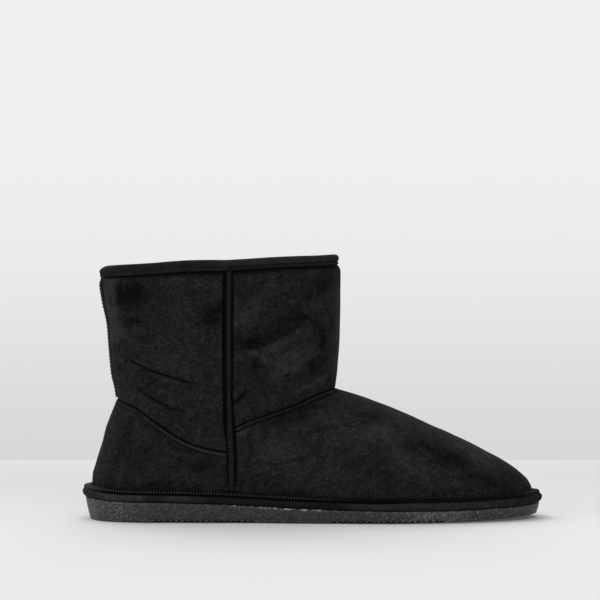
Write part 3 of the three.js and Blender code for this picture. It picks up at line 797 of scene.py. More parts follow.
@dataclass
class Effects:
    """Node groups that several finishes share."""

    coarse_scale: float = 0.31
    fine_share: float = 0.65
    fibre_range: tuple = (0.32, 0.68)
    lint_size: tuple = (0.10, 0.22)
    lint_choice: tuple = (0.90, 0.96)
    warp: float = 0.02
    small_scale: float = 3.7
    large_share: float = 0.6
    cloud_range: tuple = (0.33, 0.67)
    fibre: bpy.types.NodeTree = field(init=False)
    lint: bpy.types.NodeTree = field(init=False)
    mottle: bpy.types.NodeTree = field(init=False)

    def __post_init__(self) -> None:
        """Builds the groups once."""
        self.fibre = self.make_fibre()
        self.lint = self.make_lint()
        self.mottle = self.make_mottle()

    def make_fibre(self) -> bpy.types.NodeTree:
        """Short fibres: a fine grain, drawn out along the nap, over a coarser one."""
        graph = EffectGraph("Short fibres", "Height", "Tone")
        drawn = graph.add("Mapping", {"Vector": graph.place, "Scale": (0.6, 1.0, 1.0)})
        fine = graph.noise(drawn.outputs[0], graph.per_metre, detail=4.0, rough=0.65)
        scale = graph.times(graph.per_metre, self.coarse_scale)
        wide = graph.noise(graph.place, scale, detail=3.0, rough=0.6)
        height = graph.plus(graph.times(fine, self.fine_share), graph.times(wide, 1 - self.fine_share))
        return graph.give(height, graph.stretch(height, *self.fibre_range))

    def make_lint(self) -> bpy.types.NodeTree:
        """Sparse pale specks of lint and loose pile."""
        graph = EffectGraph("Lint specks", "Mask")
        cells = graph.cells(graph.place, graph.per_metre)
        near = graph.stretch(cells.outputs["Distance"], *self.lint_size, to_low=1.0, to_high=0.0)
        chosen = graph.stretch(graph.part(cells.outputs["Color"]), *self.lint_choice)
        return graph.give(graph.times(near, chosen))

    def make_mottle(self) -> bpy.types.NodeTree:
        """Cloudy patches of two sizes, with warped edges."""
        graph = EffectGraph("Cloudy patches", "Tone")
        warp = graph.add("TexNoise", {"Vector": graph.place, "Scale": graph.per_metre, "Detail": 2.0})
        reach = {0: warp.outputs["Color"], 1: (self.warp,) * 3}
        moved = graph.add("VectorMath", reach, operation="MULTIPLY")
        place = graph.add("VectorMath", {0: graph.place, 1: moved.outputs[0]}, operation="ADD")
        large = graph.noise(place.outputs[0], graph.per_metre, detail=3.0, rough=0.55)
        scale = graph.times(graph.per_metre, self.small_scale)
        small = graph.noise(place.outputs[0], scale, detail=3.0, rough=0.6)
        both = graph.plus(graph.times(large, self.large_share), graph.times(small, 1 - self.large_share))
        return graph.give(graph.stretch(both, *self.cloud_range))


class Finish(Graph):
    """A material round one main shader."""

    def __init__(self, name: str) -> None:
        """Starts the material, with the piece's own coordinates at hand."""
        self.material = bpy.data.materials.new(name)
        self.material.use_nodes = True
        super().__init__(self.material.node_tree)
        self.shader = self.add("BsdfPrincipled")
        self.add("OutputMaterial", {"Surface": self.shader.outputs[0]})
        self.place = self.add("TexCoord").outputs["Object"]

    def attribute(self, name: str) -> Socket:
        """Reads a number that the mesh carries."""
        return self.add("Attribute", attribute_name=name).outputs["Fac"]

    def effect(self, tree: bpy.types.NodeTree, per_metre: float) -> bpy.types.Node:
        """Places a shared effect on the piece's coordinates."""
        return self.add("Group", {"Vector": self.place, "Per metre": per_metre}, node_tree=tree)

    def feed(self, **sockets: Socket) -> None:
        """Links values that change over the surface to the shader, with _ for a space."""
        for key, value in sockets.items():
            self.tree.links.new(value, self.shader.inputs[key.replace("_", " ")])

    def relief(self, height: Socket, distance: float, strength: float) -> None:
        """Turns a height into the shader's normal."""
        inputs = {"Height": height, "Distance": distance, "Strength": strength}
        self.feed(Normal=self.add("Bump", inputs).outputs[0])

    def hold(self, **sockets: float | tuple) -> None:
        """Sets plain numbers and colours on the shader, with _ for a space."""
        for key, value in sockets.items():
            self.shader.inputs[key.replace("_", " ")].default_value = value

    def sprinkle(self, effects: Effects, colour: Socket, per_metre: float, share: float) -> None:
        """Gives the shader its colour, with pale specks of lint on it."""
        specks = self.times(self.effect(effects.lint, per_metre).outputs[0], share)
        self.feed(Base_Color=self.blend(specks, colour, grey(LINT_TONE)))


def grey(value: float, warm: float = 0.0) -> tuple[float, float, float, float]:
    """A grey in linear light, a little warm or cool."""
    return (value * (1 + warm), value, value * (1 - warm), 1.0)


@dataclass(frozen=True)
class SuedeFinish:
    """Brushed faux suede: deep black with cloudy, streaky nap, with painted highlights and painted shade
    that the mesh carries.
    """

    dark: float = 0.0026
    middle: float = 0.0136
    light: float = 0.0345
    fold_shade: float = 0.0004
    graininess: float = 0.66
    # Clouds in the nap: patches per metre and strength
    mottles: tuple = ((42.0, 0.16), (130.0, 0.24), (330.0, 0.42))
    fibres: float = 2600.0
    coarse_share: float = 0.28
    coarse_height: float = 1.5
    fold_shade_cover: float = 0.95
    bump: float = 0.00035

    def make(self, effects: Effects) -> bpy.types.Material:
        """Builds the material."""
        paint = Finish("brushed suede")
        fine = paint.effect(effects.fibre, self.fibres)
        coarse = paint.effect(effects.fibre, self.fibres * self.coarse_share)
        # The nap values carry the nap's patches together with painted highlights.
        tone = paint.attribute("nap_and_highlights")
        for per_metre, strength in self.mottles:
            cloud = paint.effect(effects.mottle, per_metre)
            tone = paint.plus(tone, paint.scaled(cloud.outputs[0], low=-strength, high=strength))
        grain = paint.scaled(coarse.outputs["Tone"], low=-self.graininess, high=self.graininess)
        tone = paint.plus(tone, grain)
        shade = paint.blend(paint.stretch(tone, -1.0, 0.0), grey(self.dark), grey(self.middle))
        colour = paint.blend(paint.stretch(tone, 0.0, 1.0), shade, grey(self.light))
        # The fold values paint shade into folds, seam lines, the grooves beside the cords, under the collar
        # binding and over the hidden wall.
        painted_shade = paint.times(paint.attribute("fold"), self.fold_shade_cover)
        colour = paint.blend(painted_shade, colour, grey(self.fold_shade))
        paint.sprinkle(effects, colour, per_metre=700.0, share=0.16)
        rough = paint.times(coarse.outputs["Height"], self.coarse_height)
        paint.relief(paint.plus(fine.outputs["Height"], rough), distance=self.bump, strength=0.7)
        paint.hold(Roughness=0.95, Specular_IOR_Level=0.05, Sheen_Weight=0.018)
        paint.hold(Sheen_Roughness=0.35, Sheen_Tint=grey(SHEEN_TONE))
        return paint.material


@dataclass(frozen=True)
class ClothFinish:
    """Matt black cloth of the bindings and cords, paler where it stands proud; its ridge values also carry
    painted shade in grooves and under stitches, and a painted highlight down the back cord.
    """

    name: str
    base: float = 0.0006
    proud: float = 0.0250
    threads: float = 3000.0
    bump: float = 0.00016
    sheen: float = 0.012

    def make(self, effects: Effects) -> bpy.types.Material:
        """Builds the material."""
        paint = Finish(self.name)
        fibre = paint.effect(effects.fibre, self.threads)
        cloud = paint.effect(effects.mottle, per_metre=90.0)
        patchy = paint.scaled(cloud.outputs[0], low=0.45, high=1.0)
        # The ridge values carry the cloth's paleness together with painted shade and a painted highlight.
        worn = paint.times(paint.attribute("ridge"), patchy)
        tone = paint.times(worn, paint.scaled(fibre.outputs["Tone"], low=0.7, high=1.0))
        colour = paint.blend(tone, grey(self.base), grey(self.proud))
        paint.sprinkle(effects, colour, per_metre=900.0, share=0.12)
        paint.relief(fibre.outputs["Height"], distance=self.bump, strength=0.6)
        paint.hold(Roughness=0.85, Specular_IOR_Level=0.06, Sheen_Weight=self.sheen)
        paint.hold(Sheen_Roughness=0.4, Sheen_Tint=grey(SHEEN_TONE))
        return paint.material


@dataclass(frozen=True)
class ThreadFinish:
    """Sewing thread, whose tone turns along the shoe."""

    name: str
    heel: float
    toe: float
    turn_from: float = -0.02
    turn_to: float = 0.04
    dim: float = 0.004

    def make(self, effects: Effects) -> bpy.types.Material:
        """Builds the material."""
        paint = Finish(self.name)
        share = paint.stretch(paint.part(paint.place), self.turn_from, self.turn_to)
        colour = paint.blend(share, grey(self.heel), grey(self.toe))
        cloud = paint.effect(effects.mottle, per_metre=260.0)
        dimmed = paint.scaled(cloud.outputs[0], low=0.65, high=0.0)
        paint.feed(Base_Color=paint.blend(dimmed, colour, grey(self.dim)))
        paint.hold(Roughness=0.7, Specular_IOR_Level=0.15, Sheen_Weight=0.02)
        return paint.material


@dataclass(frozen=True)
class RubberFinish:
    """Dark grey foam rubber with a pebbled skin, with painted sheen and glints in places."""

    base: float = 0.013
    pale: float = 0.056
    bright: float = 0.11
    glint: float = 0.42
    crumb: float = 0.70
    hollow_shade: float = 0.0015
    pebbles: float = 1050.0
    pebble_size: tuple = (0.05, 0.65)
    glint_size: tuple = (0.15, 0.50)
    glint_choice: tuple = (0.50, 0.90)
    crumb_choice: tuple = (0.50, 0.58)
    grain_share: float = 1.3
    fine_share: float = 0.5
    bump: float = 0.00042

    def make(self, effects: Effects) -> bpy.types.Material:
        """Builds the material."""
        paint = Finish("pebbled rubber")
        cells = paint.cells(paint.place, self.pebbles, feature="SMOOTH_F1")
        pebble = paint.stretch(cells.outputs["Distance"], *self.pebble_size, to_low=1.0, to_high=0.0)
        cloud = paint.effect(effects.mottle, per_metre=70.0)
        # The shine values paint sheen on the side: paler pebbles, a paler skin and glints.
        worn = paint.stretch(paint.attribute("shine"), 0.4, 1.0, to_low=0.85, to_high=1.5)
        patchy = paint.times(worn, paint.scaled(cloud.outputs[0], low=0.35, high=1.0))
        tone = paint.times(pebble, patchy)
        colour = paint.blend(tone, grey(self.base), grey(self.pale))
        grains = paint.cells(paint.place, self.pebbles * self.grain_share)
        chosen = paint.stretch(paint.part(grains.outputs["Color"]), *self.glint_choice)
        near = paint.stretch(grains.outputs["Distance"], *self.glint_size, to_low=1.0, to_high=0.0)
        bright = paint.stretch(paint.attribute("shine"), 1.0, 1.4, to_low=0.0, to_high=0.34)
        colour = paint.blend(bright, colour, grey(self.bright))
        glints = paint.times(paint.times(chosen, near), paint.attribute("shine"))
        colour = paint.blend(glints, colour, grey(self.glint))
        # The hollow values paint shade into the tread's notches and grooves.
        colour = paint.blend(paint.attribute("hollow_shade"), colour, grey(self.hollow_shade))
        ragged = paint.stretch(paint.noise(paint.place, 420.0, detail=4.0, rough=0.7), *self.crumb_choice)
        crumbs = paint.times(paint.attribute("rim"), ragged)
        paint.feed(Base_Color=paint.blend(crumbs, colour, grey(self.crumb, warm=0.03)))
        paint.feed(Roughness=paint.scaled(pebble, low=0.62, high=0.42))
        fibre = paint.effect(effects.fibre, per_metre=1500.0)
        fine = paint.times(fibre.outputs["Height"], self.fine_share)
        paint.relief(paint.plus(pebble, fine), distance=self.bump, strength=0.8)
        paint.hold(Specular_IOR_Level=0.5)
        return paint.material


@dataclass(frozen=True)
class FleeceFinish:
    """Short charcoal fleece of the lining and the insole."""

    deep: float = 0.006
    tips: float = 0.045

    def make(self, effects: Effects) -> bpy.types.Material:
        """Builds the material."""
        paint = Finish("charcoal fleece")
        fibre = paint.effect(effects.fibre, per_metre=1700.0)
        strands = paint.scaled(fibre.outputs["Tone"], low=0.5, high=1.0)
        tone = paint.times(paint.attribute("pile"), strands)
        paint.feed(Base_Color=paint.blend(tone, grey(self.deep), grey(self.tips)))
        paint.relief(fibre.outputs["Height"], distance=0.0006, strength=0.9)
        paint.hold(Roughness=1.0, Specular_IOR_Level=0.1, Sheen_Weight=0.35)
        paint.hold(Sheen_Roughness=0.5, Sheen_Tint=grey(SHEEN_TONE))
        return paint.material


def steps(*stretches: tuple[float, float, float]) -> Array:
    """Joins stretches of even steps, each given as from, to and step."""
    parts = [np.arange(low, high - step * 0.5, step) for low, high, step in stretches]
    return np.concatenate([*parts, [stretches[-1][1]]])


def waves(seed: int, places: Array, size: float, count: int = 24) -> Array:
    """A soft random relief between -1 and 1.

    Args:
        seed: fixes the waves.
        places: points, in millimetres.
        size: the usual length of a wave, in millimetres.
        count: how many waves are added up.

    Returns:
        A number for each point.
    """
    rng = np.random.default_rng(seed)
    total = np.zeros(places.shape[:-1])
    for _ in range(count):
        direction = rng.normal(size=3)
        direction = direction / np.linalg.norm(direction) / size * rng.uniform(0.6, 1.6)
        total = total + np.sin(places @ direction * 2 * math.pi + rng.uniform(0, 2 * math.pi))
    return total / math.sqrt(count / 2) / 2


class PlaceOnSkin:
    """Finds the skin beside a cord's middle line."""

    def __call__(self, height: Array, offset: Array) -> tuple[Array, Array]:
        """Points and outward directions by height and by offset across the cord."""
        raise NotImplementedError


@dataclass
class SidePlace(PlaceOnSkin):
    """The skin beside a side cord."""

    last: Last
    x: float
    sign: float
    # Bend of the seam's line: height over the sole and shift along the shoe
    bend: tuple = ((0.0, 0.7), (25.0, 0.6), (40.0, -0.1), (62.0, -1.0), (100.0, -1.1), (140.0, -0.7))

    def __call__(self, height: Array, offset: Array) -> tuple[Array, Array]:
        """Points and outward directions by height and by offset along the shoe."""
        x = self.x + Curve(self.bend)(height) + offset
        return self.last.skin_at(x, height, self.sign), self.last.side_normal(x, height, self.sign)


@dataclass
class BackPlace(PlaceOnSkin):
    """The skin beside the cord down the back."""

    last: Last

    def __call__(self, height: Array, offset: Array) -> tuple[Array, Array]:
        """Points and outward directions by height and by offset round the back."""
        level = self.last.level_of(np.zeros_like(height), height)
        reach = 0.05
        apart = self.last.skin(reach, level) - self.last.skin(0.0, level)
        angle = offset * reach / np.linalg.norm(apart, axis=-1)
        return self.last.skin(angle, level), self.last.normal(angle, level)


@dataclass(frozen=True)
class Seam:
    """A lapped seam: the level of its line, and the relief on both sides of it."""

    level: float
    stitch_line: float
    ridge: float
    channel: float
    middle_share: float
    # Strengths of the painted shade along the stitch channel and of the painted highlight on the ridge just
    # below the line
    second: float
    painted_highlight: float
    lap: float = 0.5
    valley: float = 0.6

    def relief(self, off: Array, lap_reach: float) -> Array:
        """Relief of the lapped edge, its ridge and its sewn channel.

        Args:
            off: distance over the seam's line, in millimetres.
            lap_reach: how far below the line the upper layer thins out.

        Returns:
            The height over the plain skin, in millimetres.
        """
        below = np.clip(-off, 0.0, None)
        step = ramp_down(off, end=0.3, run=0.6)
        lap = self.lap * np.exp(-below / lap_reach) * step
        valley = -self.valley * bell(off - 0.45, width=0.60)
        line = self.stitch_line
        ridge = self.ridge * bell(below - 0.5 * line, 0.28 * line) * (off < 0)
        channel = -self.channel * bell(below - line, width=0.55) * (off < 0)
        return lap + valley + ridge + channel


@dataclass
class Upper:
    """The suede upper with its lapped seams, folds and stitches, and its fleece lining."""

    shop: Workshop
    suede: bpy.types.Material
    thread: bpy.types.Material
    fleece: bpy.types.Material
    columns: int = 500
    lining_columns: int = 260
    outer_share: float = 1.35
    even_level: float = 1.2
    suede_thickness: float = 1.2
    lining_depth: float = 1.3
    tuck: float = 0.45
    tuck_deep: float = 0.55
    wall: float = 3.4
    lining_gap: float = 0.1
    pile_height: float = 0.35
    pile_tone: tuple = (0.55, 0.45)
    lap_reach: float = 9.0
    stitch_pitch: float = 2.6
    stitch_lift: float = 0.10
    cord_clear: float = 3.2
    middle_clear: float = 3.0
    # The suede's hidden upper edge: depth under the skin and drop below the collar
    hem: tuple = ((0.35, 7.15), (0.75, 6.75), (1.70, 6.40))
    waviness: float = 0.35
    fine_waviness: float = 0.12
    # Depth of a crease at which its painted shade is full
    dark_fold: float = 0.8
    # Half widths of the painted shade in the groove beside a side cord: low down and high up
    groove_behind: tuple = (3.0, 3.8)
    groove_before: tuple = (3.8, 3.1)
    # Strength of the painted shade under the collar binding, ahead of the side cords
    collar_shade: float = 0.90
    collar_lift: tuple = (0.15, -0.25)
    front_ease: float = 0.7
    # Relief beside a side cord: distance from its middle and width
    cord_trough: tuple = (2.3, 0.8)
    cord_swell: tuple = (4.8, 1.7)
    cord_relief: float = 0.75
    collar_reach: float = 11.0
    # Drop below the collar down to which that painted shade under the binding reaches
    collar_dark: float = 8.7
    nap_stray: float = 2.4
    stray_long: float = 13.0
    stray_short: float = 4.5
    stray_share: float = 0.45
    seam_reach: int = 18
    quarter_seam: Seam = Seam(level=1.0, stitch_line=2.5, ridge=0.45, channel=0.35, middle_share=0.15,
                              second=0.40, painted_highlight=0.9)
    vamp_seam: Seam = Seam(level=2.0, stitch_line=2.2, ridge=0.40, channel=0.70, middle_share=0.15,
                           second=0.95, painted_highlight=0.25)
    wall_levels: Array = field(default_factory=lambda: steps((2.88, 2.07, -0.27), (2.07, 1.93, -0.02),
                                                             (1.93, 1.09, -0.12), (1.09, 0.0, -0.218)))
    offs: dict[float, Array] = field(default_factory=dict)
    surface: Array | None = None
    surface_normal: Array | None = None

    def angles(self, count: int, level: float) -> Array:
        """Angles of even steps round a level, closer together on the outer side."""
        fine = np.linspace(0.0, FULL_TURN, FINE)
        weight = np.where((fine[1:] + fine[:-1]) / 2 < math.pi, self.outer_share, 1.0)
        return respace(fine, self.shop.last.skin(fine, level), count, weight)

    def seam_distance(self, row: int, points: Array) -> Array:
        """Distance over a seam's line, measured along the skin.

        Args:
            row: the row of points that the seam follows.
            points: the plain skin, rows by columns.

        Returns:
            The distance in millimetres, above 0 over the line.
        """
        line = points[row]
        tangent = unit(np.gradient(line, axis=0))
        nearest = np.full(points.shape[:2], np.inf)
        off = np.zeros(points.shape[:2])
        for shift in range(-self.seam_reach, self.seam_reach + 1):
            apart = points - np.roll(line, shift, axis=0)
            ahead = np.roll(tangent, shift, axis=0)
            size = np.linalg.norm(apart, axis=-1)
            across = np.linalg.norm(apart - np.sum(apart * ahead, axis=-1, keepdims=True) * ahead, axis=-1)
            nearer = size < nearest
            off = np.where(nearer, across, off)
            nearest = np.where(nearer, size, nearest)
        return np.where(np.arange(len(points))[:, None] >= row, off, -off)

    def relief(self, angle: Array, level: Array, points: Array) -> tuple[Array, Array, Array]:
        """Height of the suede over the plain skin, its painted shade and the painted highlight along its
        seams.

        Args:
            angle: angles round the last, rows by columns.
            level: levels of the last, rows by columns.
            points: the plain skin.

        Returns:
            The relief in millimetres, 0 to 1 for the painted shade in folds, seam lines, the grooves
            beside the cords and under the collar binding, and the painted highlight along the seams.
        """
        last = self.shop.last
        x, z = points[..., 0], points[..., 2]
        ahead = x - last.seam_x - Curve(SidePlace.bend)(z - last.seat)
        middle = np.abs(points[..., 1] - last.middle_line(x))
        total, depth, painted_highlight = np.zeros((3, *x.shape))
        for seam, way in ((self.quarter_seam, -1.0), (self.vamp_seam, 1.0)):
            row = int(np.searchsorted(level[:, 0], seam.level - TINY))
            off = self.seam_distance(row, points)
            self.offs[seam.level] = off
            share = ramp_up(way * ahead, start=1.4, run=2.0)
            plain = mix(seam.middle_share, 1.0, ramp_up(middle, start=0.0, run=15.0))
            total = total + seam.relief(off, self.lap_reach) * share * plain
            # Painted shade along the seam's line and its stitch channel, and a painted highlight on the
            # ridge just below the line
            dark = bell(off - 0.40, width=0.62) + seam.second * bell(off + seam.stitch_line, width=0.5)
            depth = depth + dark * share
            painted_highlight = painted_highlight + seam.painted_highlight * bell(off + 1.0, width=0.55) * share * ramp_up(x, start=32.0, run=14.0)
        apart = np.abs(ahead)
        above = ramp_up(z, start=20.0, run=6.0)
        trough, swell = (bell(apart - away, wide) for away, wide in (self.cord_trough, self.cord_swell))
        beside = (-self.cord_relief * trough + self.cord_relief * swell) * above
        folds = sum(crease.relief(x, z, side_sign(angle)) for crease in CREASES)
        soft = self.waviness * waves(3, points, size=46.0) + self.fine_waviness * waves(5, points, size=17.0)
        around = front_share(angle)
        drop = last.collar_height(around) - last.height_of(around, level)
        under_collar = ramp_down(drop, end=self.collar_reach, run=3.0)
        top = 1 - under_collar
        behind = mix(*self.groove_behind, ramp_up(z, start=48.0, run=6.0))
        before = mix(*self.groove_before, ramp_up(z, start=58.0, run=6.0))
        groove = np.where(ahead < 0, behind, before)
        groove_shade = ramp_down(apart, end=groove, run=0.7) * above
        # Painted shade in the creases' troughs and in the grooves beside the cords
        depth = depth + np.clip(-folds / self.dark_fold, 0.0, 1.0) + groove_shade
        right = ramp_up(ahead, start=-1.0, run=3.0)
        # Painted shade under the collar binding, ahead of the side cords
        depth = depth + self.collar_shade * right * ramp_down(drop, end=self.collar_dark, run=1.2)
        front = self.front_ease * ramp_up(around, start=0.86, run=0.10) * ramp_up(level, start=2.0, run=0.15)
        under_binding = mix(*self.collar_lift, right) * under_collar
        relief = total + beside * top + (folds + soft) * top + under_binding + front
        return relief, np.clip(depth, 0.0, 1.0), painted_highlight

    def stray(self, seed: int, skin: Array) -> Array:
        """How far the nap's patches stray from their places, in millimetres."""
        short = waves(seed + 1, skin, self.stray_short)
        return self.nap_stray * (waves(seed, skin, self.stray_long) + self.stray_share * short)

    def build_suede(self) -> None:
        """Makes the suede as one closed shell."""
        last = self.shop.last
        levels = steps((0.0, 0.86, 0.03), (0.86, 1.0, 0.01), (1.0, 1.1, 0.0125), (1.1, 1.74, 0.032),
                       (1.74, 1.93, 0.019), (1.93, 2.0, 0.005), (2.0, 2.032, 0.004), (2.032, 2.452, 0.0105),
                       (2.452, 2.8, 0.0174), (2.8, 2.89, 0.015))
        turn = self.angles(self.columns, self.even_level)
        angle, level = np.meshgrid(turn, levels)
        skin = last.skin(angle, level)
        normal = last.normal(angle, level)
        height, fold, painted_highlight = self.relief(angle, level, skin)
        stray_x, stray_z = self.stray(41, skin), self.stray(43, skin)
        # The nap values start from the painted highlight along the seams
        nap_and_highlights = painted_highlight
        for patch in NAP:
            x, z = skin[..., 0] + stray_x * patch.stray, skin[..., 2] + stray_z * patch.stray
            nap_and_highlights = nap_and_highlights + patch.shade(x, z, side_sign(angle))
        outer = skin + normal * height[..., None]
        self.surface = outer
        self.surface_normal = normal
        hems = [last.under(turn, TOP, depth, drop) for depth, drop in self.hem]
        back_angle, back_level = np.meshgrid(turn, self.wall_levels)
        wall = last.under(back_angle, back_level, self.suede_thickness + self.tuck)
        points = np.concatenate([outer, np.stack(hems), wall, outer[:1]])
        points[0, :, 2] = points[-1, :, 2] = last.sole_top(outer[0, :, 0]) + last.gap
        hidden = np.zeros((len(self.wall_levels) + len(hems), len(turn)))
        # The fold values carry painted shade, in full over the hidden hem and wall.
        values = {
            "nap_and_highlights": np.concatenate([nap_and_highlights, hidden, nap_and_highlights[:1]]),
            "fold": np.concatenate([fold, hidden + 1.0, fold[:1]]),
        }
        piece = self.shop.sheet("suede_upper", points, values)
        self.shop.put_on(piece, self.suede, "suede", "upper")

    def build_lining(self) -> None:
        """Makes the fleece lining as one closed shell."""
        last = self.shop.last
        turn = self.angles(self.lining_columns, self.even_level)
        levels = steps((0.0, 2.0, 0.05), (2.0, 2.94, 0.02))
        angle, level = np.meshgrid(turn, levels)
        pile = waves(11, last.skin(angle, level), size=5.0, count=40)
        inner = last.under(angle, level, self.wall - self.lining_gap - self.pile_height * pile)
        walls = np.concatenate([levels[-1:], self.wall_levels])
        back_angle, back_level = np.meshgrid(turn, walls)
        outer = last.under(back_angle, back_level, self.lining_depth + self.tuck_deep)
        points = np.concatenate([inner, outer, inner[:1]])
        plain, more = self.pile_tone
        tips = np.clip(plain + more * pile, 0.0, 1.0)
        hidden = np.zeros((len(walls), len(turn)))
        piece = self.shop.sheet("fleece_lining", points, {"pile": np.concatenate([tips, hidden, tips[:1]])})
        self.shop.put_on(piece, self.fleece, "fleece")

    def stitch_run(self, seam: Seam, columns: Array) -> tuple[Array, Array, Array]:
        """Places the stitches of one seam over a run of columns.

        Args:
            seam: the seam that they hold.
            columns: columns of the suede's surface, in order.

        Returns:
            Their middles, directions and outward directions.
        """
        rows = np.arange(self.surface.shape[0])
        line, out = [], []
        for column in columns:
            off = self.offs[seam.level][:, column]
            row = np.interp(-seam.stitch_line, off, rows)
            low = int(row)
            share = row - low
            line.append(mix(self.surface[low, column], self.surface[low + 1, column], share))
            out.append(self.surface_normal[low, column])
        line, out = np.array(line), np.array(out)
        places = even_steps(line, self.stitch_pitch)
        centre, normal = between(places, line), between(places, out)
        ahead = between(places + 0.5, line)
        return centre + unit(normal) * self.stitch_lift, ahead - centre, normal

    def build_stitches(self) -> None:
        """Sews the vamp's and the quarter's seams on both sides."""
        last = self.shop.last
        runs = []
        for seam, way in ((self.quarter_seam, -1.0), (self.vamp_seam, 1.0)):
            row = int(np.argmin(np.abs(self.offs[seam.level][:, 0])))
            line = self.surface[row]
            off_middle = line[:, 1] - last.middle_line(line[:, 0])
            clear = way * (line[:, 0] - last.seam_x) > self.cord_clear
            chosen = clear & (np.abs(off_middle) > self.middle_clear)
            for side in (-1.0, 1.0):
                runs.append(self.stitch_run(seam, np.flatnonzero(chosen & (np.sign(off_middle) == side))))
        centres, along, out = (np.concatenate(part) for part in zip(*runs))
        size = ThreadSize(long=0.85, wide=0.26, high=0.20)
        piece = self.shop.threads("seam_stitches", centres, along, out, size)
        self.shop.put_on(piece, self.thread, "suede")

    def build(self) -> None:
        """Makes the upper."""
        self.build_suede()
        self.build_lining()
        self.build_stitches()


@dataclass
class CollarBinding:
    """The bound edge of the shaft: a soft roll over a row of upright stitches."""

    shop: Workshop
    cloth: bpy.types.Material
    thread: bpy.types.Material
    columns: int = 1501
    rib_pitch: float = 1.35
    rib_lean: float = 0.55
    rib_height: float = 0.16
    stitch_pitch: float = 1.6
    stitch_drop: float = 5.35
    stitch_depth: float = 0.32
    # How far the roll leans in at the back and at the front
    tilt: tuple = (-0.45, 0.50)
    cord_lift: float = 0.55
    corner: float = 3.2
    corner_drop: float = 5.0
    corner_width: float = 18.0
    unevenness: float = 0.16
    ribbed_depth: float = 2.9
    uneven_depth: float = 3.0
    outer_depth: float = 1.5
    shown_depth: float = 3.6
    # Paleness of the hem below the ribbed roll, and of the whole cloth: at the back and at the front
    worn: tuple = (0.70, 0.20)
    shine: tuple = (0.62, 1.0)
    rib_light: tuple = (0.30, 0.85)
    # Round the section: depth under the skin and drop below the collar
    section: tuple = (
        (1.40, 6.50), (1.05, 6.72), (0.75, 6.60), (0.52, 6.15), (0.46, 5.40), (0.55, 4.65),
        (0.42, 4.20), (0.08, 3.65), (-0.22, 2.90), (-0.30, 2.10), (-0.05, 1.25), (0.45, 0.60),
        (1.15, 0.15), (1.95, 0.00), (2.75, 0.15), (3.40, 0.60), (3.75, 1.30), (3.85, 2.20),
        (3.80, 3.50), (3.75, 4.90), (3.30, 5.30), (2.95, 5.20), (2.90, 1.20), (1.40, 1.20),
    )

    def build(self) -> None:
        """Makes the binding and its stitches."""
        last = self.shop.last
        fine = np.linspace(0.0, FULL_TURN, FINE)
        turn = respace(fine, last.skin(fine, TOP), self.columns)
        rim = last.skin(turn, TOP)
        passed = lengths_along(rim)
        ribs = round(passed[-1] / self.rib_pitch)
        depth, drop = (np.array(column) for column in zip(*(*self.section, self.section[0])))
        angle, drops = np.meshgrid(turn, drop)
        depths = np.meshgrid(turn, depth)[1]
        phase = passed[None, :] / passed[-1] * ribs + drops / self.rib_pitch * self.rib_lean
        rib = ribs_at(phase)
        face = ramp_down(drops, end=6.3, run=1.0) * (depths < self.ribbed_depth)
        uneven = self.unevenness * waves(21, rim, size=14.0)[None, :] * (depths < self.uneven_depth)
        from_back = passed[-1] / 2 - np.abs(passed - passed[-1] / 2)
        over_cord = self.cord_lift * bell(from_back, width=4.0)[None, :]
        tilt = (mix(*self.tilt, front_share(angle)) - over_cord) * (depths < self.outer_depth)
        lean = np.clip(1 - drops / self.corner_drop, 0.0, 1.0) ** 2
        tilt = tilt + self.corner * lean * bell(from_back, self.corner_width)[None, :]
        base = last.under(angle, TOP, depths + tilt, drops)
        normal = last.normal(angle, TOP, drops)
        points = base + normal * (self.rib_height * rib * face + uneven)[..., None]
        worn = mix(*self.worn, ramp_up(rim[:, 0], start=60.0, run=30.0))[None, :]
        shine = mix(*self.shine, ramp_up(rim[:, 0], start=55.0, run=45.0))[None, :]
        ribbed = self.rib_light[0] + self.rib_light[1] * rib
        proud = mix(worn, ribbed, ramp_down(drops, end=4.3, run=0.8)) * shine * (depths < self.shown_depth)
        piece = self.shop.sheet("collar_roll", points, {"ridge": proud})
        self.shop.put_on(piece, self.cloth, "binding", "collar_binding")
        places = even_steps(rim, self.stitch_pitch)
        at = np.interp(places, np.arange(len(turn)), turn)
        depth = self.stitch_depth + mix(*self.tilt, front_share(at))
        high, low = (last.under(at, TOP, depth, self.stitch_drop + way) for way in (-1.0, 1.0))
        normal = last.normal(at, TOP, self.stitch_drop)
        size = ThreadSize(long=0.80, wide=0.28, high=0.24)
        piece = self.shop.threads("collar_stitches", (high + low) / 2, high - low, normal, size)
        self.shop.put_on(piece, self.thread, "binding")


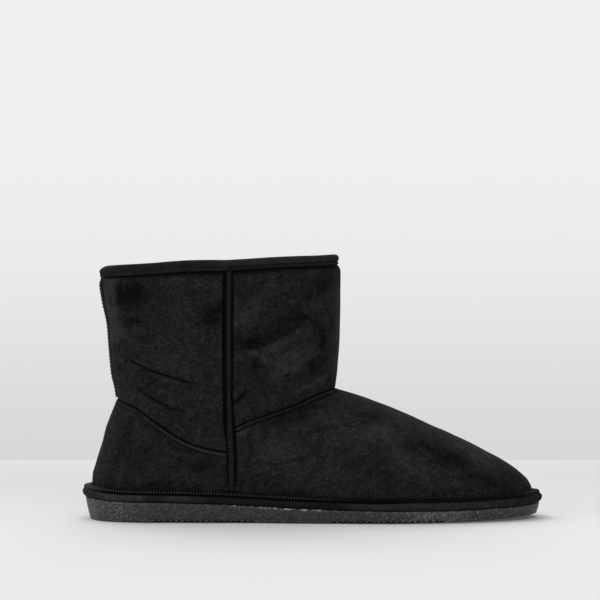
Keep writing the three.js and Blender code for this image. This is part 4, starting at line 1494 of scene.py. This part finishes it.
@dataclass
class FootBinding:
    """The padded roll round the foot of the upper, whipped over with thread."""

    shop: Workshop
    cloth: bpy.types.Material
    thread: bpy.types.Material
    columns: int = 2201
    width: float = 5.5
    height: float = 6.6
    rib_pitch: float = 2.0
    rib_lean: float = 1.1
    rib_height: float = 0.30
    toe_round: float = 0.19
    toe_from: float = 247.0
    inner_heights: tuple = (0.0, 0.45, 0.88)
    unevenness: float = 0.10
    twill_light: float = 2.1
    twill_share: tuple = (0.55, 0.45)
    # Where the twill gives way to painted shade under the whip stitches, as a share of the height: at the
    # heel, and the rise towards the toe
    cloth_top: tuple = (0.60, 0.14)
    end_cover: float = 0.8
    # Tone of that painted shade
    under_stitch_shade: float = 0.02
    stitch_pitch: float = 1.67
    stitch_low: tuple = (0.93, 0.76, 0.99)
    stitch_high: tuple = (0.86, 1.02, 0.84)
    # Up the section: share of the width, share of the height, share of the width at the ends
    section: tuple = (
        (0.30, 1.00, 0.20), (0.50, 1.05, 0.34), (0.68, 1.06, 0.48), (0.79, 1.02, 0.62), (0.86, 0.94, 0.77),
        (0.88, 0.84, 0.90), (0.87, 0.75, 0.97), (0.82, 0.69, 1.00), (0.80, 0.65, 1.02), (0.84, 0.60, 1.03),
        (0.93, 0.56, 1.05), (1.00, 0.48, 1.06), (1.04, 0.38, 1.06), (1.04, 0.26, 1.04), (1.00, 0.15, 0.99),
        (0.93, 0.06, 0.92), (0.82, 0.00, 0.82), (0.72, -0.02, 0.72),
    )
    # How pale the cloth is: place along the shoe and share
    shine: tuple = (
        (-10.0, 0.70), (6.0, 0.70), (14.0, 1.05), (30.0, 1.05), (36.0, 0.40), (44.0, 0.40), (50.0, 0.90),
        (62.0, 0.70), (78.0, 0.32), (148.0, 0.28), (158.0, 0.80), (170.0, 0.85), (185.0, 0.75),
        (225.0, 0.85), (250.0, 0.60), (262.0, 0.40),
    )

    def at_ends(self, x: Array) -> Array:
        """How far the roll is plain and round: 1 at the heel and the toe, 0 between."""
        rest = np.minimum(x, self.shop.last.foot_length - x)
        return ramp_down(rest, end=14.0, run=12.0)

    def reach(self, out: float, up: float, plain: float, x: Array) -> Array:
        """How far a place of the section stands out, with a round brow at the toe.

        Args:
            out: share of the width along the sides.
            up: share of the height.
            plain: share of the width at the heel and the toe.
            x: places along the shoe.

        Returns:
            The reach in millimetres.
        """
        toe = ramp_up(x, start=self.toe_from, run=8.0)
        rounded = plain - self.toe_round * ramp_up(up, start=0.35, run=0.6) * toe
        return mix(out, rounded, self.at_ends(x)) * self.width

    def raised(self, row: Array, up: float) -> Array:
        """Lifts a row of points off the sole by a share of the height."""
        last = self.shop.last
        row[:, 2] = last.sole_top(row[:, 0]) + last.gap + up * self.height
        return row

    def build(self) -> None:
        """Makes the roll and its whip stitches."""
        last = self.shop.last
        fine = np.linspace(0.0, FULL_TURN, FINER)
        rim = last.outline(fine, self.width)
        girth = lengths_along(rim)[-1]
        turn = respace(fine, rim, self.columns)
        length = np.linspace(0.0, girth, self.columns)
        ribs = round(girth / self.rib_pitch)
        rows, heights = [], []
        for up in self.inner_heights:
            level = last.level_of(front_share(turn), up * self.height)
            rows.append(self.raised(last.under(turn, level, -last.gap), up))
            heights.append(np.zeros(turn.shape))
        uneven = self.unevenness * waves(31, last.outline(turn, self.width), size=18.0)
        base_x = rows[0][:, 0]
        ends = self.at_ends(base_x)
        shine = Curve(self.shine)(base_x)
        for out, up, plain in self.section:
            rib = ribs_at(length / girth * ribs + up * self.height / self.rib_pitch * self.rib_lean)
            proud = ramp_up(up, start=0.02, run=0.2)
            below = ramp_down(up, end=0.64, run=0.06)
            bulge = (self.rib_height * rib * below + uneven) * proud
            row = self.raised(last.outline(turn, self.reach(out, up, plain, base_x) + bulge), up)
            rows.append(row)
            least, more = self.twill_share
            share = least + more * ramp_up(row[:, 0], start=150.0, run=30.0)
            twill = mix(1.0, self.twill_light * rib**2, share) * shine
            least, more = self.cloth_top
            cloth_top = least + more * ramp_up(row[:, 0], start=170.0, run=25.0)
            # Above the twill the cloth takes the painted shade under the whip stitches
            cover = np.maximum(ramp_down(up, end=cloth_top, run=0.05), self.end_cover * ends)
            heights.append(mix(self.under_stitch_shade, twill, cover) * ramp_up(up, start=-0.02, run=0.06))
        ridge = np.stack([*heights, heights[0]])
        piece = self.shop.sheet("foot_roll", np.stack([*rows, rows[0]]), {"ridge": ridge})
        self.shop.put_on(piece, self.cloth, "binding", "foot_binding")
        places = even_steps(rim, self.stitch_pitch)
        at = np.interp(places, np.arange(len(fine)), fine)
        tips = []
        for out, up, plain in (self.stitch_low, self.stitch_high):
            tip = last.outline(at, self.reach(out, up, plain, last.outline(at, 0.0)[:, 0]))
            tips.append(self.raised(tip, up))
        low, high = tips
        side = unit(last.outline(at, 1.0) - last.outline(at, 0.0))
        out = unit(side + np.array([0.0, 0.0, 1.0]))
        size = ThreadSize(long=0.74, wide=0.27, high=0.26)
        piece = self.shop.threads("foot_whip_stitches", (low + high) / 2, high - low, out, size)
        self.shop.put_on(piece, self.thread, "binding")


@dataclass
class SeamCords:
    """The ridged cords down the two sides and down the back."""

    shop: Workshop
    cloth: bpy.types.Material
    thread: bpy.types.Material
    back_thread: bpy.types.Material
    width: float = 4.6
    sunk: float = 0.15
    step: float = 0.3
    braid_pitch: float = 2.1
    braid_height: float = 0.14
    tuck: float = 0.9
    back_lift: float = 1.5
    back_tuck: float = 5.0
    top_drop: float = 6.5
    foot: float = 6.9
    back_foot: float = 1.3
    stitch_pitch: float = 1.75
    stitch_reach: float = 0.5
    stitch_place: float = 0.84
    stitch_slant: float = 0.30
    stitch_lift: float = 0.24
    slim_share: float = 1.32
    slim_shift: float = 0.16
    low_lift: float = 0.30
    braid_slant: float = 0.6
    braid_light: tuple = (0.55, 0.45)
    # Even tone of the back cord, a painted highlight
    back_highlight: float = 1.8
    columns: int = 41
    # Across the cord: share of the half width and thickness
    profile: tuple = (
        (-1.00, 0.00), (-0.93, 0.05), (-0.82, 0.06), (-0.73, 0.14), (-0.65, 0.48), (-0.54, 0.80),
        (-0.40, 0.96), (-0.14, 1.07), (0.00, 1.08), (0.14, 1.07), (0.40, 0.96), (0.54, 0.80),
        (0.65, 0.48), (0.73, 0.14), (0.82, 0.06), (0.93, 0.05), (1.00, 0.00),
    )

    def strip(self, name: str, node: str, place: PlaceOnSkin, low: float, high: float,
              back: bool = False) -> None:
        """Lays one cord.

        Args:
            name: name of the piece.
            node: the node that it stands for.
            place: gives skin points and outward directions by height and offset.
            low: height of its lower end.
            high: height of its upper end.
            back: whether it is the one down the back, which stands prouder and is painted evenly pale, a
                painted highlight where light grazes the back.
        """
        count = max(2, round((high - low) / self.step))
        heights = np.linspace(low, high, count + 1)
        height, across = np.meshgrid(heights, np.linspace(-1.0, 1.0, self.columns), indexing="ij")
        point, normal = place(height, across * self.width / 2)
        slim = 0.0 if back else ramp_up(height, start=44.0, run=8.0)
        inner = np.clip(across * mix(1.0, self.slim_share, slim) - self.slim_shift * slim, -1.0, 1.0)
        middle = ramp_down(np.abs(inner), end=0.72, run=0.16)
        tuck, lift = (self.back_tuck, self.back_lift) if back else (self.tuck, 1.0)
        tucked = mix(self.low_lift, lift, ramp_down(height, end=high, run=tuck))
        braid = np.cos(2 * math.pi * (height / self.braid_pitch + np.abs(inner) * self.braid_slant))
        thickness = (Curve(self.profile)(inner) + self.braid_height * braid * middle) * tucked
        face = point + normal * thickness[..., None]
        foot = point[:, ::-1] - normal[:, ::-1] * self.sunk
        loop = np.concatenate([face, foot, face[:, :1]], axis=1)
        # The braid is paler along its crests, and its flanks get none of that, which paints shade into the
        # grooves at its edges; the back cord is painted evenly pale, a painted highlight where light grazes
        # the back.
        low_light, more = self.braid_light
        braided = (low_light + more * (0.5 + 0.5 * braid)) * middle
        light = np.full(height.shape, self.back_highlight) if back else braided
        dark = np.zeros(foot.shape[:2])
        ridge = np.concatenate([light, dark, light[:, :1]], axis=1)
        piece = self.shop.sheet(name, loop, {"ridge": ridge}, ends=True)
        self.shop.put_on(piece, self.cloth, "cord", node)

    def edge_stitches(self, name: str, place: PlaceOnSkin, low: float, high: float,
                      thread: bpy.types.Material) -> None:
        """Sews both edges of a cord.

        Args:
            name: name of the piece.
            place: gives skin points and outward directions by height and offset.
            low: height of the lowest stitch.
            high: height of the highest one.
            thread: material of the thread.
        """
        pitch, reach = self.stitch_pitch, self.stitch_reach
        heights = np.arange(low + pitch, high - pitch / 2, pitch)
        rows = []
        for side in (-1.0, 1.0):
            offset = side * self.width / 2 * self.stitch_place
            slant = side * self.stitch_slant
            point, normal = place(heights, offset)
            above, _ = place(heights + reach, offset - slant)
            beneath, _ = place(heights - reach, offset + slant)
            rows.append((point + normal * self.stitch_lift, above - beneath, normal))
        size = ThreadSize(long=0.62, wide=0.22, high=0.18)
        centres, along, out = (np.concatenate(part) for part in zip(*rows))
        self.shop.put_on(self.shop.threads(name, centres, along, out, size), thread, "cord")

    def build(self) -> None:
        """Makes the three cords with their stitches."""
        last = self.shop.last
        high = last.instep_height + last.shaft_rise
        back, front = float(last.shaft_back(high)), float(last.shaft_front(high))
        top = float(last.collar_height((last.seam_x - back) / (front - back))) - self.top_drop
        for sign, side in ((-1.0, "outer"), (1.0, "inner")):
            place = SidePlace(last, last.seam_x, sign)
            self.strip(f"side_braid_{side}", f"side_cord_{side}", place, self.foot, top)
            self.edge_stitches(f"side_cord_stitches_{side}", place, self.foot, top, self.thread)
        place = BackPlace(last)
        low, high = last.heel_seam_height + self.back_foot, high - self.top_drop
        self.strip("back_braid", "back_cord", place, low, high, back=True)
        self.edge_stitches("back_cord_stitches", place, low, high, self.back_thread)


@dataclass
class Outsole:
    """The rubber sole with its tread, and the fleece insole that lies on it."""

    shop: Workshop
    rubber: bpy.types.Material
    fleece: bpy.types.Material
    top_out: float = 4.2
    bottom_out: float = 1.7
    edge: float = 0.8
    toe_out: float = 1.3
    groove_pitch: float = 3.5
    groove_width: float = 1.7
    groove_depth: float = 1.1
    notch_depth: float = 2.4
    step: float = 1.2
    edge_gap: float = 0.04
    clear_gap: float = 0.25
    middle_share: float = 0.6
    brow: float = 0.66
    # Lower wall: inset, height over the tread, share of a groove's notch and of its painted shade
    lower_wall: tuple = ((-0.42, 0.12, 1.0), (-0.18, 0.38, 1.0), (-0.05, 0.72, 1.0), (0.0, 1.40, 1.0),
                         (0.0, 1.50, 0.0))
    # Upper edge: inset and height over the brow
    upper_edge: tuple = ((0.12, 0.30), (0.40, 0.55), (0.85, 0.66), (3.0, 0.66))
    tread_parts: tuple = (0.0, 0.35, 0.7, 0.93, 1.0)
    wall_parts: tuple = (0.12, 1.0, 8)
    bulge: float = 0.25
    worn: tuple = (0.15, 0.85)
    wall_crumbs: float = 0.35
    # Painted sheen and glints of the side all round, as a strength
    shine: float = 0.40
    # Stretches of the side with more painted sheen and glints: strength, place and width
    glows: tuple = ((0.60, 14.0, 11.0), (1.00, 205.0, 30.0))
    insole_out: float = -3.9
    insole_ends: float = 8.0
    insole_thickness: float = 4.0

    def groove_places(self) -> list[float]:
        """Middles of the cross grooves along the shoe."""
        length = self.shop.last.foot_length
        places = []
        for start, end in TREAD_ZONES:
            first = start * length
            count = math.floor((end * length - first) / self.groove_pitch)
            places.extend(first + i * self.groove_pitch for i in range(count + 1))
        return places

    def stations(self) -> Array:
        """Angles of one side, with a pair at each edge of each groove."""
        last = self.shop.last
        places = []
        for middle in self.groove_places():
            for edge in (middle - self.groove_width / 2, middle + self.groove_width / 2):
                places.extend((edge - self.edge_gap, edge + self.edge_gap))
        fine = np.linspace(0.0, math.pi, FINER)
        points = last.outline(fine, self.bottom_out)
        even = respace(fine, points, round(lengths_along(points)[-1] / self.step))
        share = np.array(places) / last.foot_length
        grooves = np.arccos(np.clip(1 - 2 * share, -1.0, 1.0))
        gap = self.clear_gap / last.foot_length
        clear = np.array([np.abs(share - place).min() > gap for place in front_share(even)])
        return np.sort(np.concatenate([even[clear], grooves]))

    def in_groove(self, x: Array) -> Array:
        """Whether a place of the sole lies in a groove."""
        inside = np.zeros(x.shape, dtype=bool)
        for middle in self.groove_places():
            inside |= np.abs(x - middle) < self.groove_width / 2
        return inside

    def drawn_in(self, rim: Array, base: Array, part: float) -> Array:
        """A row between the middle line and the rim: 0 on the line, 1 on the rim."""
        row = rim.copy()
        row[:, 0] = mix(base, rim[:, 0], part)
        row[:, 1] = mix(self.shop.last.middle_line(base) * self.middle_share, rim[:, 1], part)
        return row

    def build_sole(self) -> None:
        """Makes the sole with its pebbled side and cross grooves."""
        last = self.shop.last
        half = self.stations()
        turn = np.concatenate([half, FULL_TURN - half[-2::-1]])
        base = front_share(turn) * last.foot_length
        grooved = self.in_groove(base)
        plain = np.zeros(turn.shape)
        low_out = self.bottom_out + self.toe_out * ramp_up(base, start=230.0, run=30.0)
        least, more = self.worn
        worn = least + more * ramp_up(base, start=82.0, run=8.0) * ramp_down(base, end=150.0, run=12.0)
        notch = np.where(grooved, self.notch_depth, 0.0)
        bottom = last.outline(turn, low_out - self.edge)
        edge = last.outline(turn, low_out - self.edge - notch)
        rows = []
        for part in self.tread_parts:
            row = self.drawn_in(bottom if part < 1.0 else edge, base, part)
            cut = np.where(grooved & (0.5 < part < 1.0), self.groove_depth, 0.0)
            row[:, 2] = last.sole_bottom(row[:, 0]) + cut
            rows.append((row, plain, grooved * 1.0))
        for inset, up, cut in self.lower_wall:
            row = last.outline(turn, low_out + inset - notch * cut)
            row[:, 2] = last.sole_bottom(row[:, 0]) + up
            rows.append((row, plain, grooved * cut))
        foot, head = rows[-1][0], last.outline(turn, self.top_out)
        head[:, 2] = last.sole_top(head[:, 0]) - self.brow
        for part in np.linspace(*self.wall_parts):
            bulge = self.bulge * math.sin(math.pi * part)
            row = last.outline(turn, mix(low_out, self.top_out, part) + bulge)
            row[:, 2] = mix(foot[:, 2], head[:, 2], part)
            rows.append((row, worn * float(part == 1.0) * self.wall_crumbs, plain))
        for inset, up in self.upper_edge:
            row = last.outline(turn, self.top_out - inset)
            row[:, 2] = last.sole_top(row[:, 0]) - self.brow + up
            rows.append((row, worn * float(inset < 0.5), plain))
        for part in (0.5, 0.0):
            row = self.drawn_in(last.outline(turn, 0.0), base, part)
            row[:, 2] = last.sole_top(row[:, 0])
            rows.append((row, plain, plain))
        grid, rims, hollow_shades = (np.stack(part) for part in zip(*rows))
        shine = self.shine + sum(share * bell(grid[..., 0] - at, wide) for share, at, wide in self.glows)
        piece = self.shop.sheet("rubber_sole", grid, {"rim": rims, "hollow_shade": hollow_shades, "shine": shine})
        self.shop.put_on(piece, self.rubber, "rubber", "outsole")

    def build_insole(self) -> None:
        """Makes the fleece insole with its soft pile."""
        last = self.shop.last
        turn = np.linspace(0.0, FULL_TURN, 301)
        base = mix(self.insole_ends, last.foot_length - self.insole_ends, front_share(turn))
        rim = last.outline(turn, self.insole_out)
        thick = self.insole_thickness
        profile = [(0.0, 0.3), (1.0, 0.3), (1.0, thick - 0.6), (0.985, thick - 0.1), (0.96, thick + 0.3)]
        profile += [(part, thick + 0.3) for part in np.linspace(0.90, 0.0, 16)]
        rows, tips = [], []
        for part, up in profile:
            row = self.drawn_in(rim, base, part)
            pile = waves(17, row, size=6.0, count=40) * (1.0 if part < 0.97 else 0.3) * (up > 1.0)
            if part == 0.0:
                pile = (pile + pile[::-1]) / 2
            row[:, 2] = last.sole_top(row[:, 0]) + up + 0.3 * pile - (0.3 if up > 1.0 else 0.0)
            rows.append(row)
            tips.append(np.clip(0.5 + 0.5 * pile, 0.0, 1.0))
        piece = self.shop.sheet("fleece_insole", np.stack(rows), {"pile": np.stack(tips)})
        self.shop.put_on(piece, self.fleece, "fleece", "insole")

    def build(self) -> None:
        """Makes the sole and the insole."""
        self.build_sole()
        self.build_insole()


@dataclass(frozen=True)
class SoftLight:
    """One soft box: its place, what it looks at, its size and its power."""

    name: str
    place: tuple
    target: tuple
    size: float
    power: float


@dataclass
class Studio:
    """Pale floor, soft light and the camera at the photograph's place."""

    camera_place: tuple = (-0.0078, -1.5, 0.1303)
    lens: float = 150.0
    sensor: float = 36.0
    floor_back: float = 0.536
    floor_front: float = -2.6
    floor_half: float = 2.4
    floor_tone: float = 0.668
    floor_far: float = 0.56
    floor_glow: float = 0.10
    sky: float = 0.30
    # The wall's tone eases from a low to a high one with the height of the view
    wall_low: float = 216.0
    wall_high: float = 240.0
    wall_span: tuple = (-0.064, 0.120)
    wall_reach: float = 0.0638
    wall_power: float = 1.8
    wall_stops: int = 14
    lights: tuple = (
        SoftLight("key", (0.20, -1.30, 1.05), (0.0, 0.0, 0.06), 1.2, 8.1),
        SoftLight("fill", (-1.1, -0.5, 0.8), (0.0, 0.0, 0.06), 0.9, 4.0),
        SoftLight("top", (-0.30, 0.42, 1.45), (0.0, 0.0, 0.05), 2.0, 13.0),
        SoftLight("rear", (-0.35, 1.35, 1.05), (0.0, 0.0, 0.0), 1.7, 14.5),
    )

    def build_camera(self) -> None:
        """Sets the camera level, looking along +Y."""
        lens = bpy.data.cameras.new("camera")
        lens.lens = self.lens
        lens.sensor_width = self.sensor
        lens.clip_end = 20.0
        camera = bpy.data.objects.new("camera", lens)
        camera.location = self.camera_place
        camera.rotation_euler = (math.pi / 2, 0.0, 0.0)
        bpy.context.scene.collection.objects.link(camera)
        bpy.context.scene.camera = camera

    def build_lights(self) -> None:
        """Hangs the soft boxes."""
        for light in self.lights:
            lamp = bpy.data.lights.new(light.name, "AREA")
            lamp.shape = "DISK"
            lamp.size = light.size
            lamp.energy = light.power
            made = bpy.data.objects.new(light.name, lamp)
            made.location = light.place
            aim = Vector(light.target) - Vector(light.place)
            made.rotation_euler = aim.to_track_quat("-Z", "Y").to_euler()
            bpy.context.scene.collection.objects.link(made)

    def build_floor(self) -> None:
        """Lays the floor, which glows a little so that its shadow stays soft."""
        shape = bmesh.new()
        bmesh.ops.create_grid(shape, x_segments=1, y_segments=1, size=1.0)
        depth = (self.floor_back - self.floor_front) / 2
        bmesh.ops.scale(shape, vec=(self.floor_half, depth, 1.0), verts=shape.verts[:])
        middle = (0.0, (self.floor_back + self.floor_front) / 2, 0.0)
        bmesh.ops.translate(shape, vec=middle, verts=shape.verts[:])
        mesh = bpy.data.meshes.new("floor")
        shape.to_mesh(mesh)
        shape.free()
        floor = bpy.data.objects.new("floor", mesh)
        bpy.context.scene.collection.objects.link(floor)
        paint = Finish("pale floor")
        # The floor's colour is painted lighter to the right and darker far back: painted light and shade on
        # a plain floor.
        share = paint.stretch(paint.part(paint.place), -0.2, 0.2)
        near, far = (paint.blend(share, grey(level * 0.98), grey(level * 1.07))
                     for level in (self.floor_tone, self.floor_far))
        away = paint.part(paint.place, 1)
        colour = paint.blend(paint.stretch(away, -0.10, 0.30), near, far)
        paint.feed(Base_Color=colour, Emission_Color=colour)
        paint.hold(Roughness=0.9, Specular_IOR_Level=0.0, Emission_Strength=self.floor_glow)
        mesh.materials.append(paint.material)

    def build_world(self) -> None:
        """Gives the camera a plain wall with a soft fall of tone, and the shoe an even sky."""
        world = bpy.data.worlds.new("studio")
        world.use_nodes = True
        bpy.context.scene.world = world
        graph = Graph(world.node_tree)
        direction = graph.add("TexCoord").outputs["Generated"]
        height = graph.part(direction, 2)
        low, high = self.wall_span
        ramp = graph.add("ValToRGB", {0: graph.stretch(height, low, high)})
        stops = ramp.color_ramp.elements
        places = [step / (self.wall_stops - 1) for step in range(self.wall_stops)]
        for place in places[1:-1]:
            stops.new(place)
        for stop, place in zip(stops, places):
            left = math.exp(-((place * (high - low) / self.wall_reach) ** self.wall_power))
            tone = mix(self.wall_high, self.wall_low, left)
            linear = ((tone / 255 + 0.055) / 1.055) ** 2.4
            stop.color = (linear, linear, linear * 0.99, 1.0)
        wall = graph.add("Background", {"Color": ramp.outputs[0], "Strength": 1.0})
        sky = graph.add("Background", {"Color": grey(1.0), "Strength": self.sky})
        seen = graph.add("LightPath").outputs["Is Camera Ray"]
        both = graph.add("MixShader", {0: seen, 1: sky.outputs[0], 2: wall.outputs[0]})
        graph.add("OutputWorld", {"Surface": both.outputs[0]})

    def build(self) -> None:
        """Sets up the studio."""
        self.build_camera()
        self.build_lights()
        self.build_floor()
        self.build_world()
        bpy.context.scene.view_settings.view_transform = "Standard"


def main() -> None:
    """Builds the slipper and its studio in order."""
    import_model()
    effects = Effects()
    suede = SuedeFinish().make(effects)
    collar_cloth = ClothFinish("collar cloth", proud=0.042).make(effects)
    foot_cloth = ClothFinish("foot cloth", proud=0.055, sheen=0.0).make(effects)
    cord = ClothFinish("cord cloth", proud=0.0270, sheen=0.0).make(effects)
    foot_thread = ThreadFinish("foot thread", heel=0.085, toe=0.0015, turn_from=-0.005,
                               turn_to=0.028).make(effects)
    collar_thread = ThreadFinish("collar thread", heel=0.014, toe=0.050, turn_from=-0.105,
                                 turn_to=0.03).make(effects)
    seam_thread = ThreadFinish("seam thread", heel=0.006, toe=0.006).make(effects)
    rubber = RubberFinish().make(effects)
    fleece = FleeceFinish().make(effects)
    shop = Workshop(Last())
    Studio().build()
    Upper(shop, suede, seam_thread, fleece).build()
    CollarBinding(shop, collar_cloth, collar_thread).build()
    FootBinding(shop, foot_cloth, foot_thread).build()
    SeamCords(shop, cord, seam_thread, collar_thread).build()
    Outsole(shop, rubber, fleece).build()


if __name__ == "__main__":
    logging.basicConfig(level=logging.INFO, format="%(message)s")
    main()
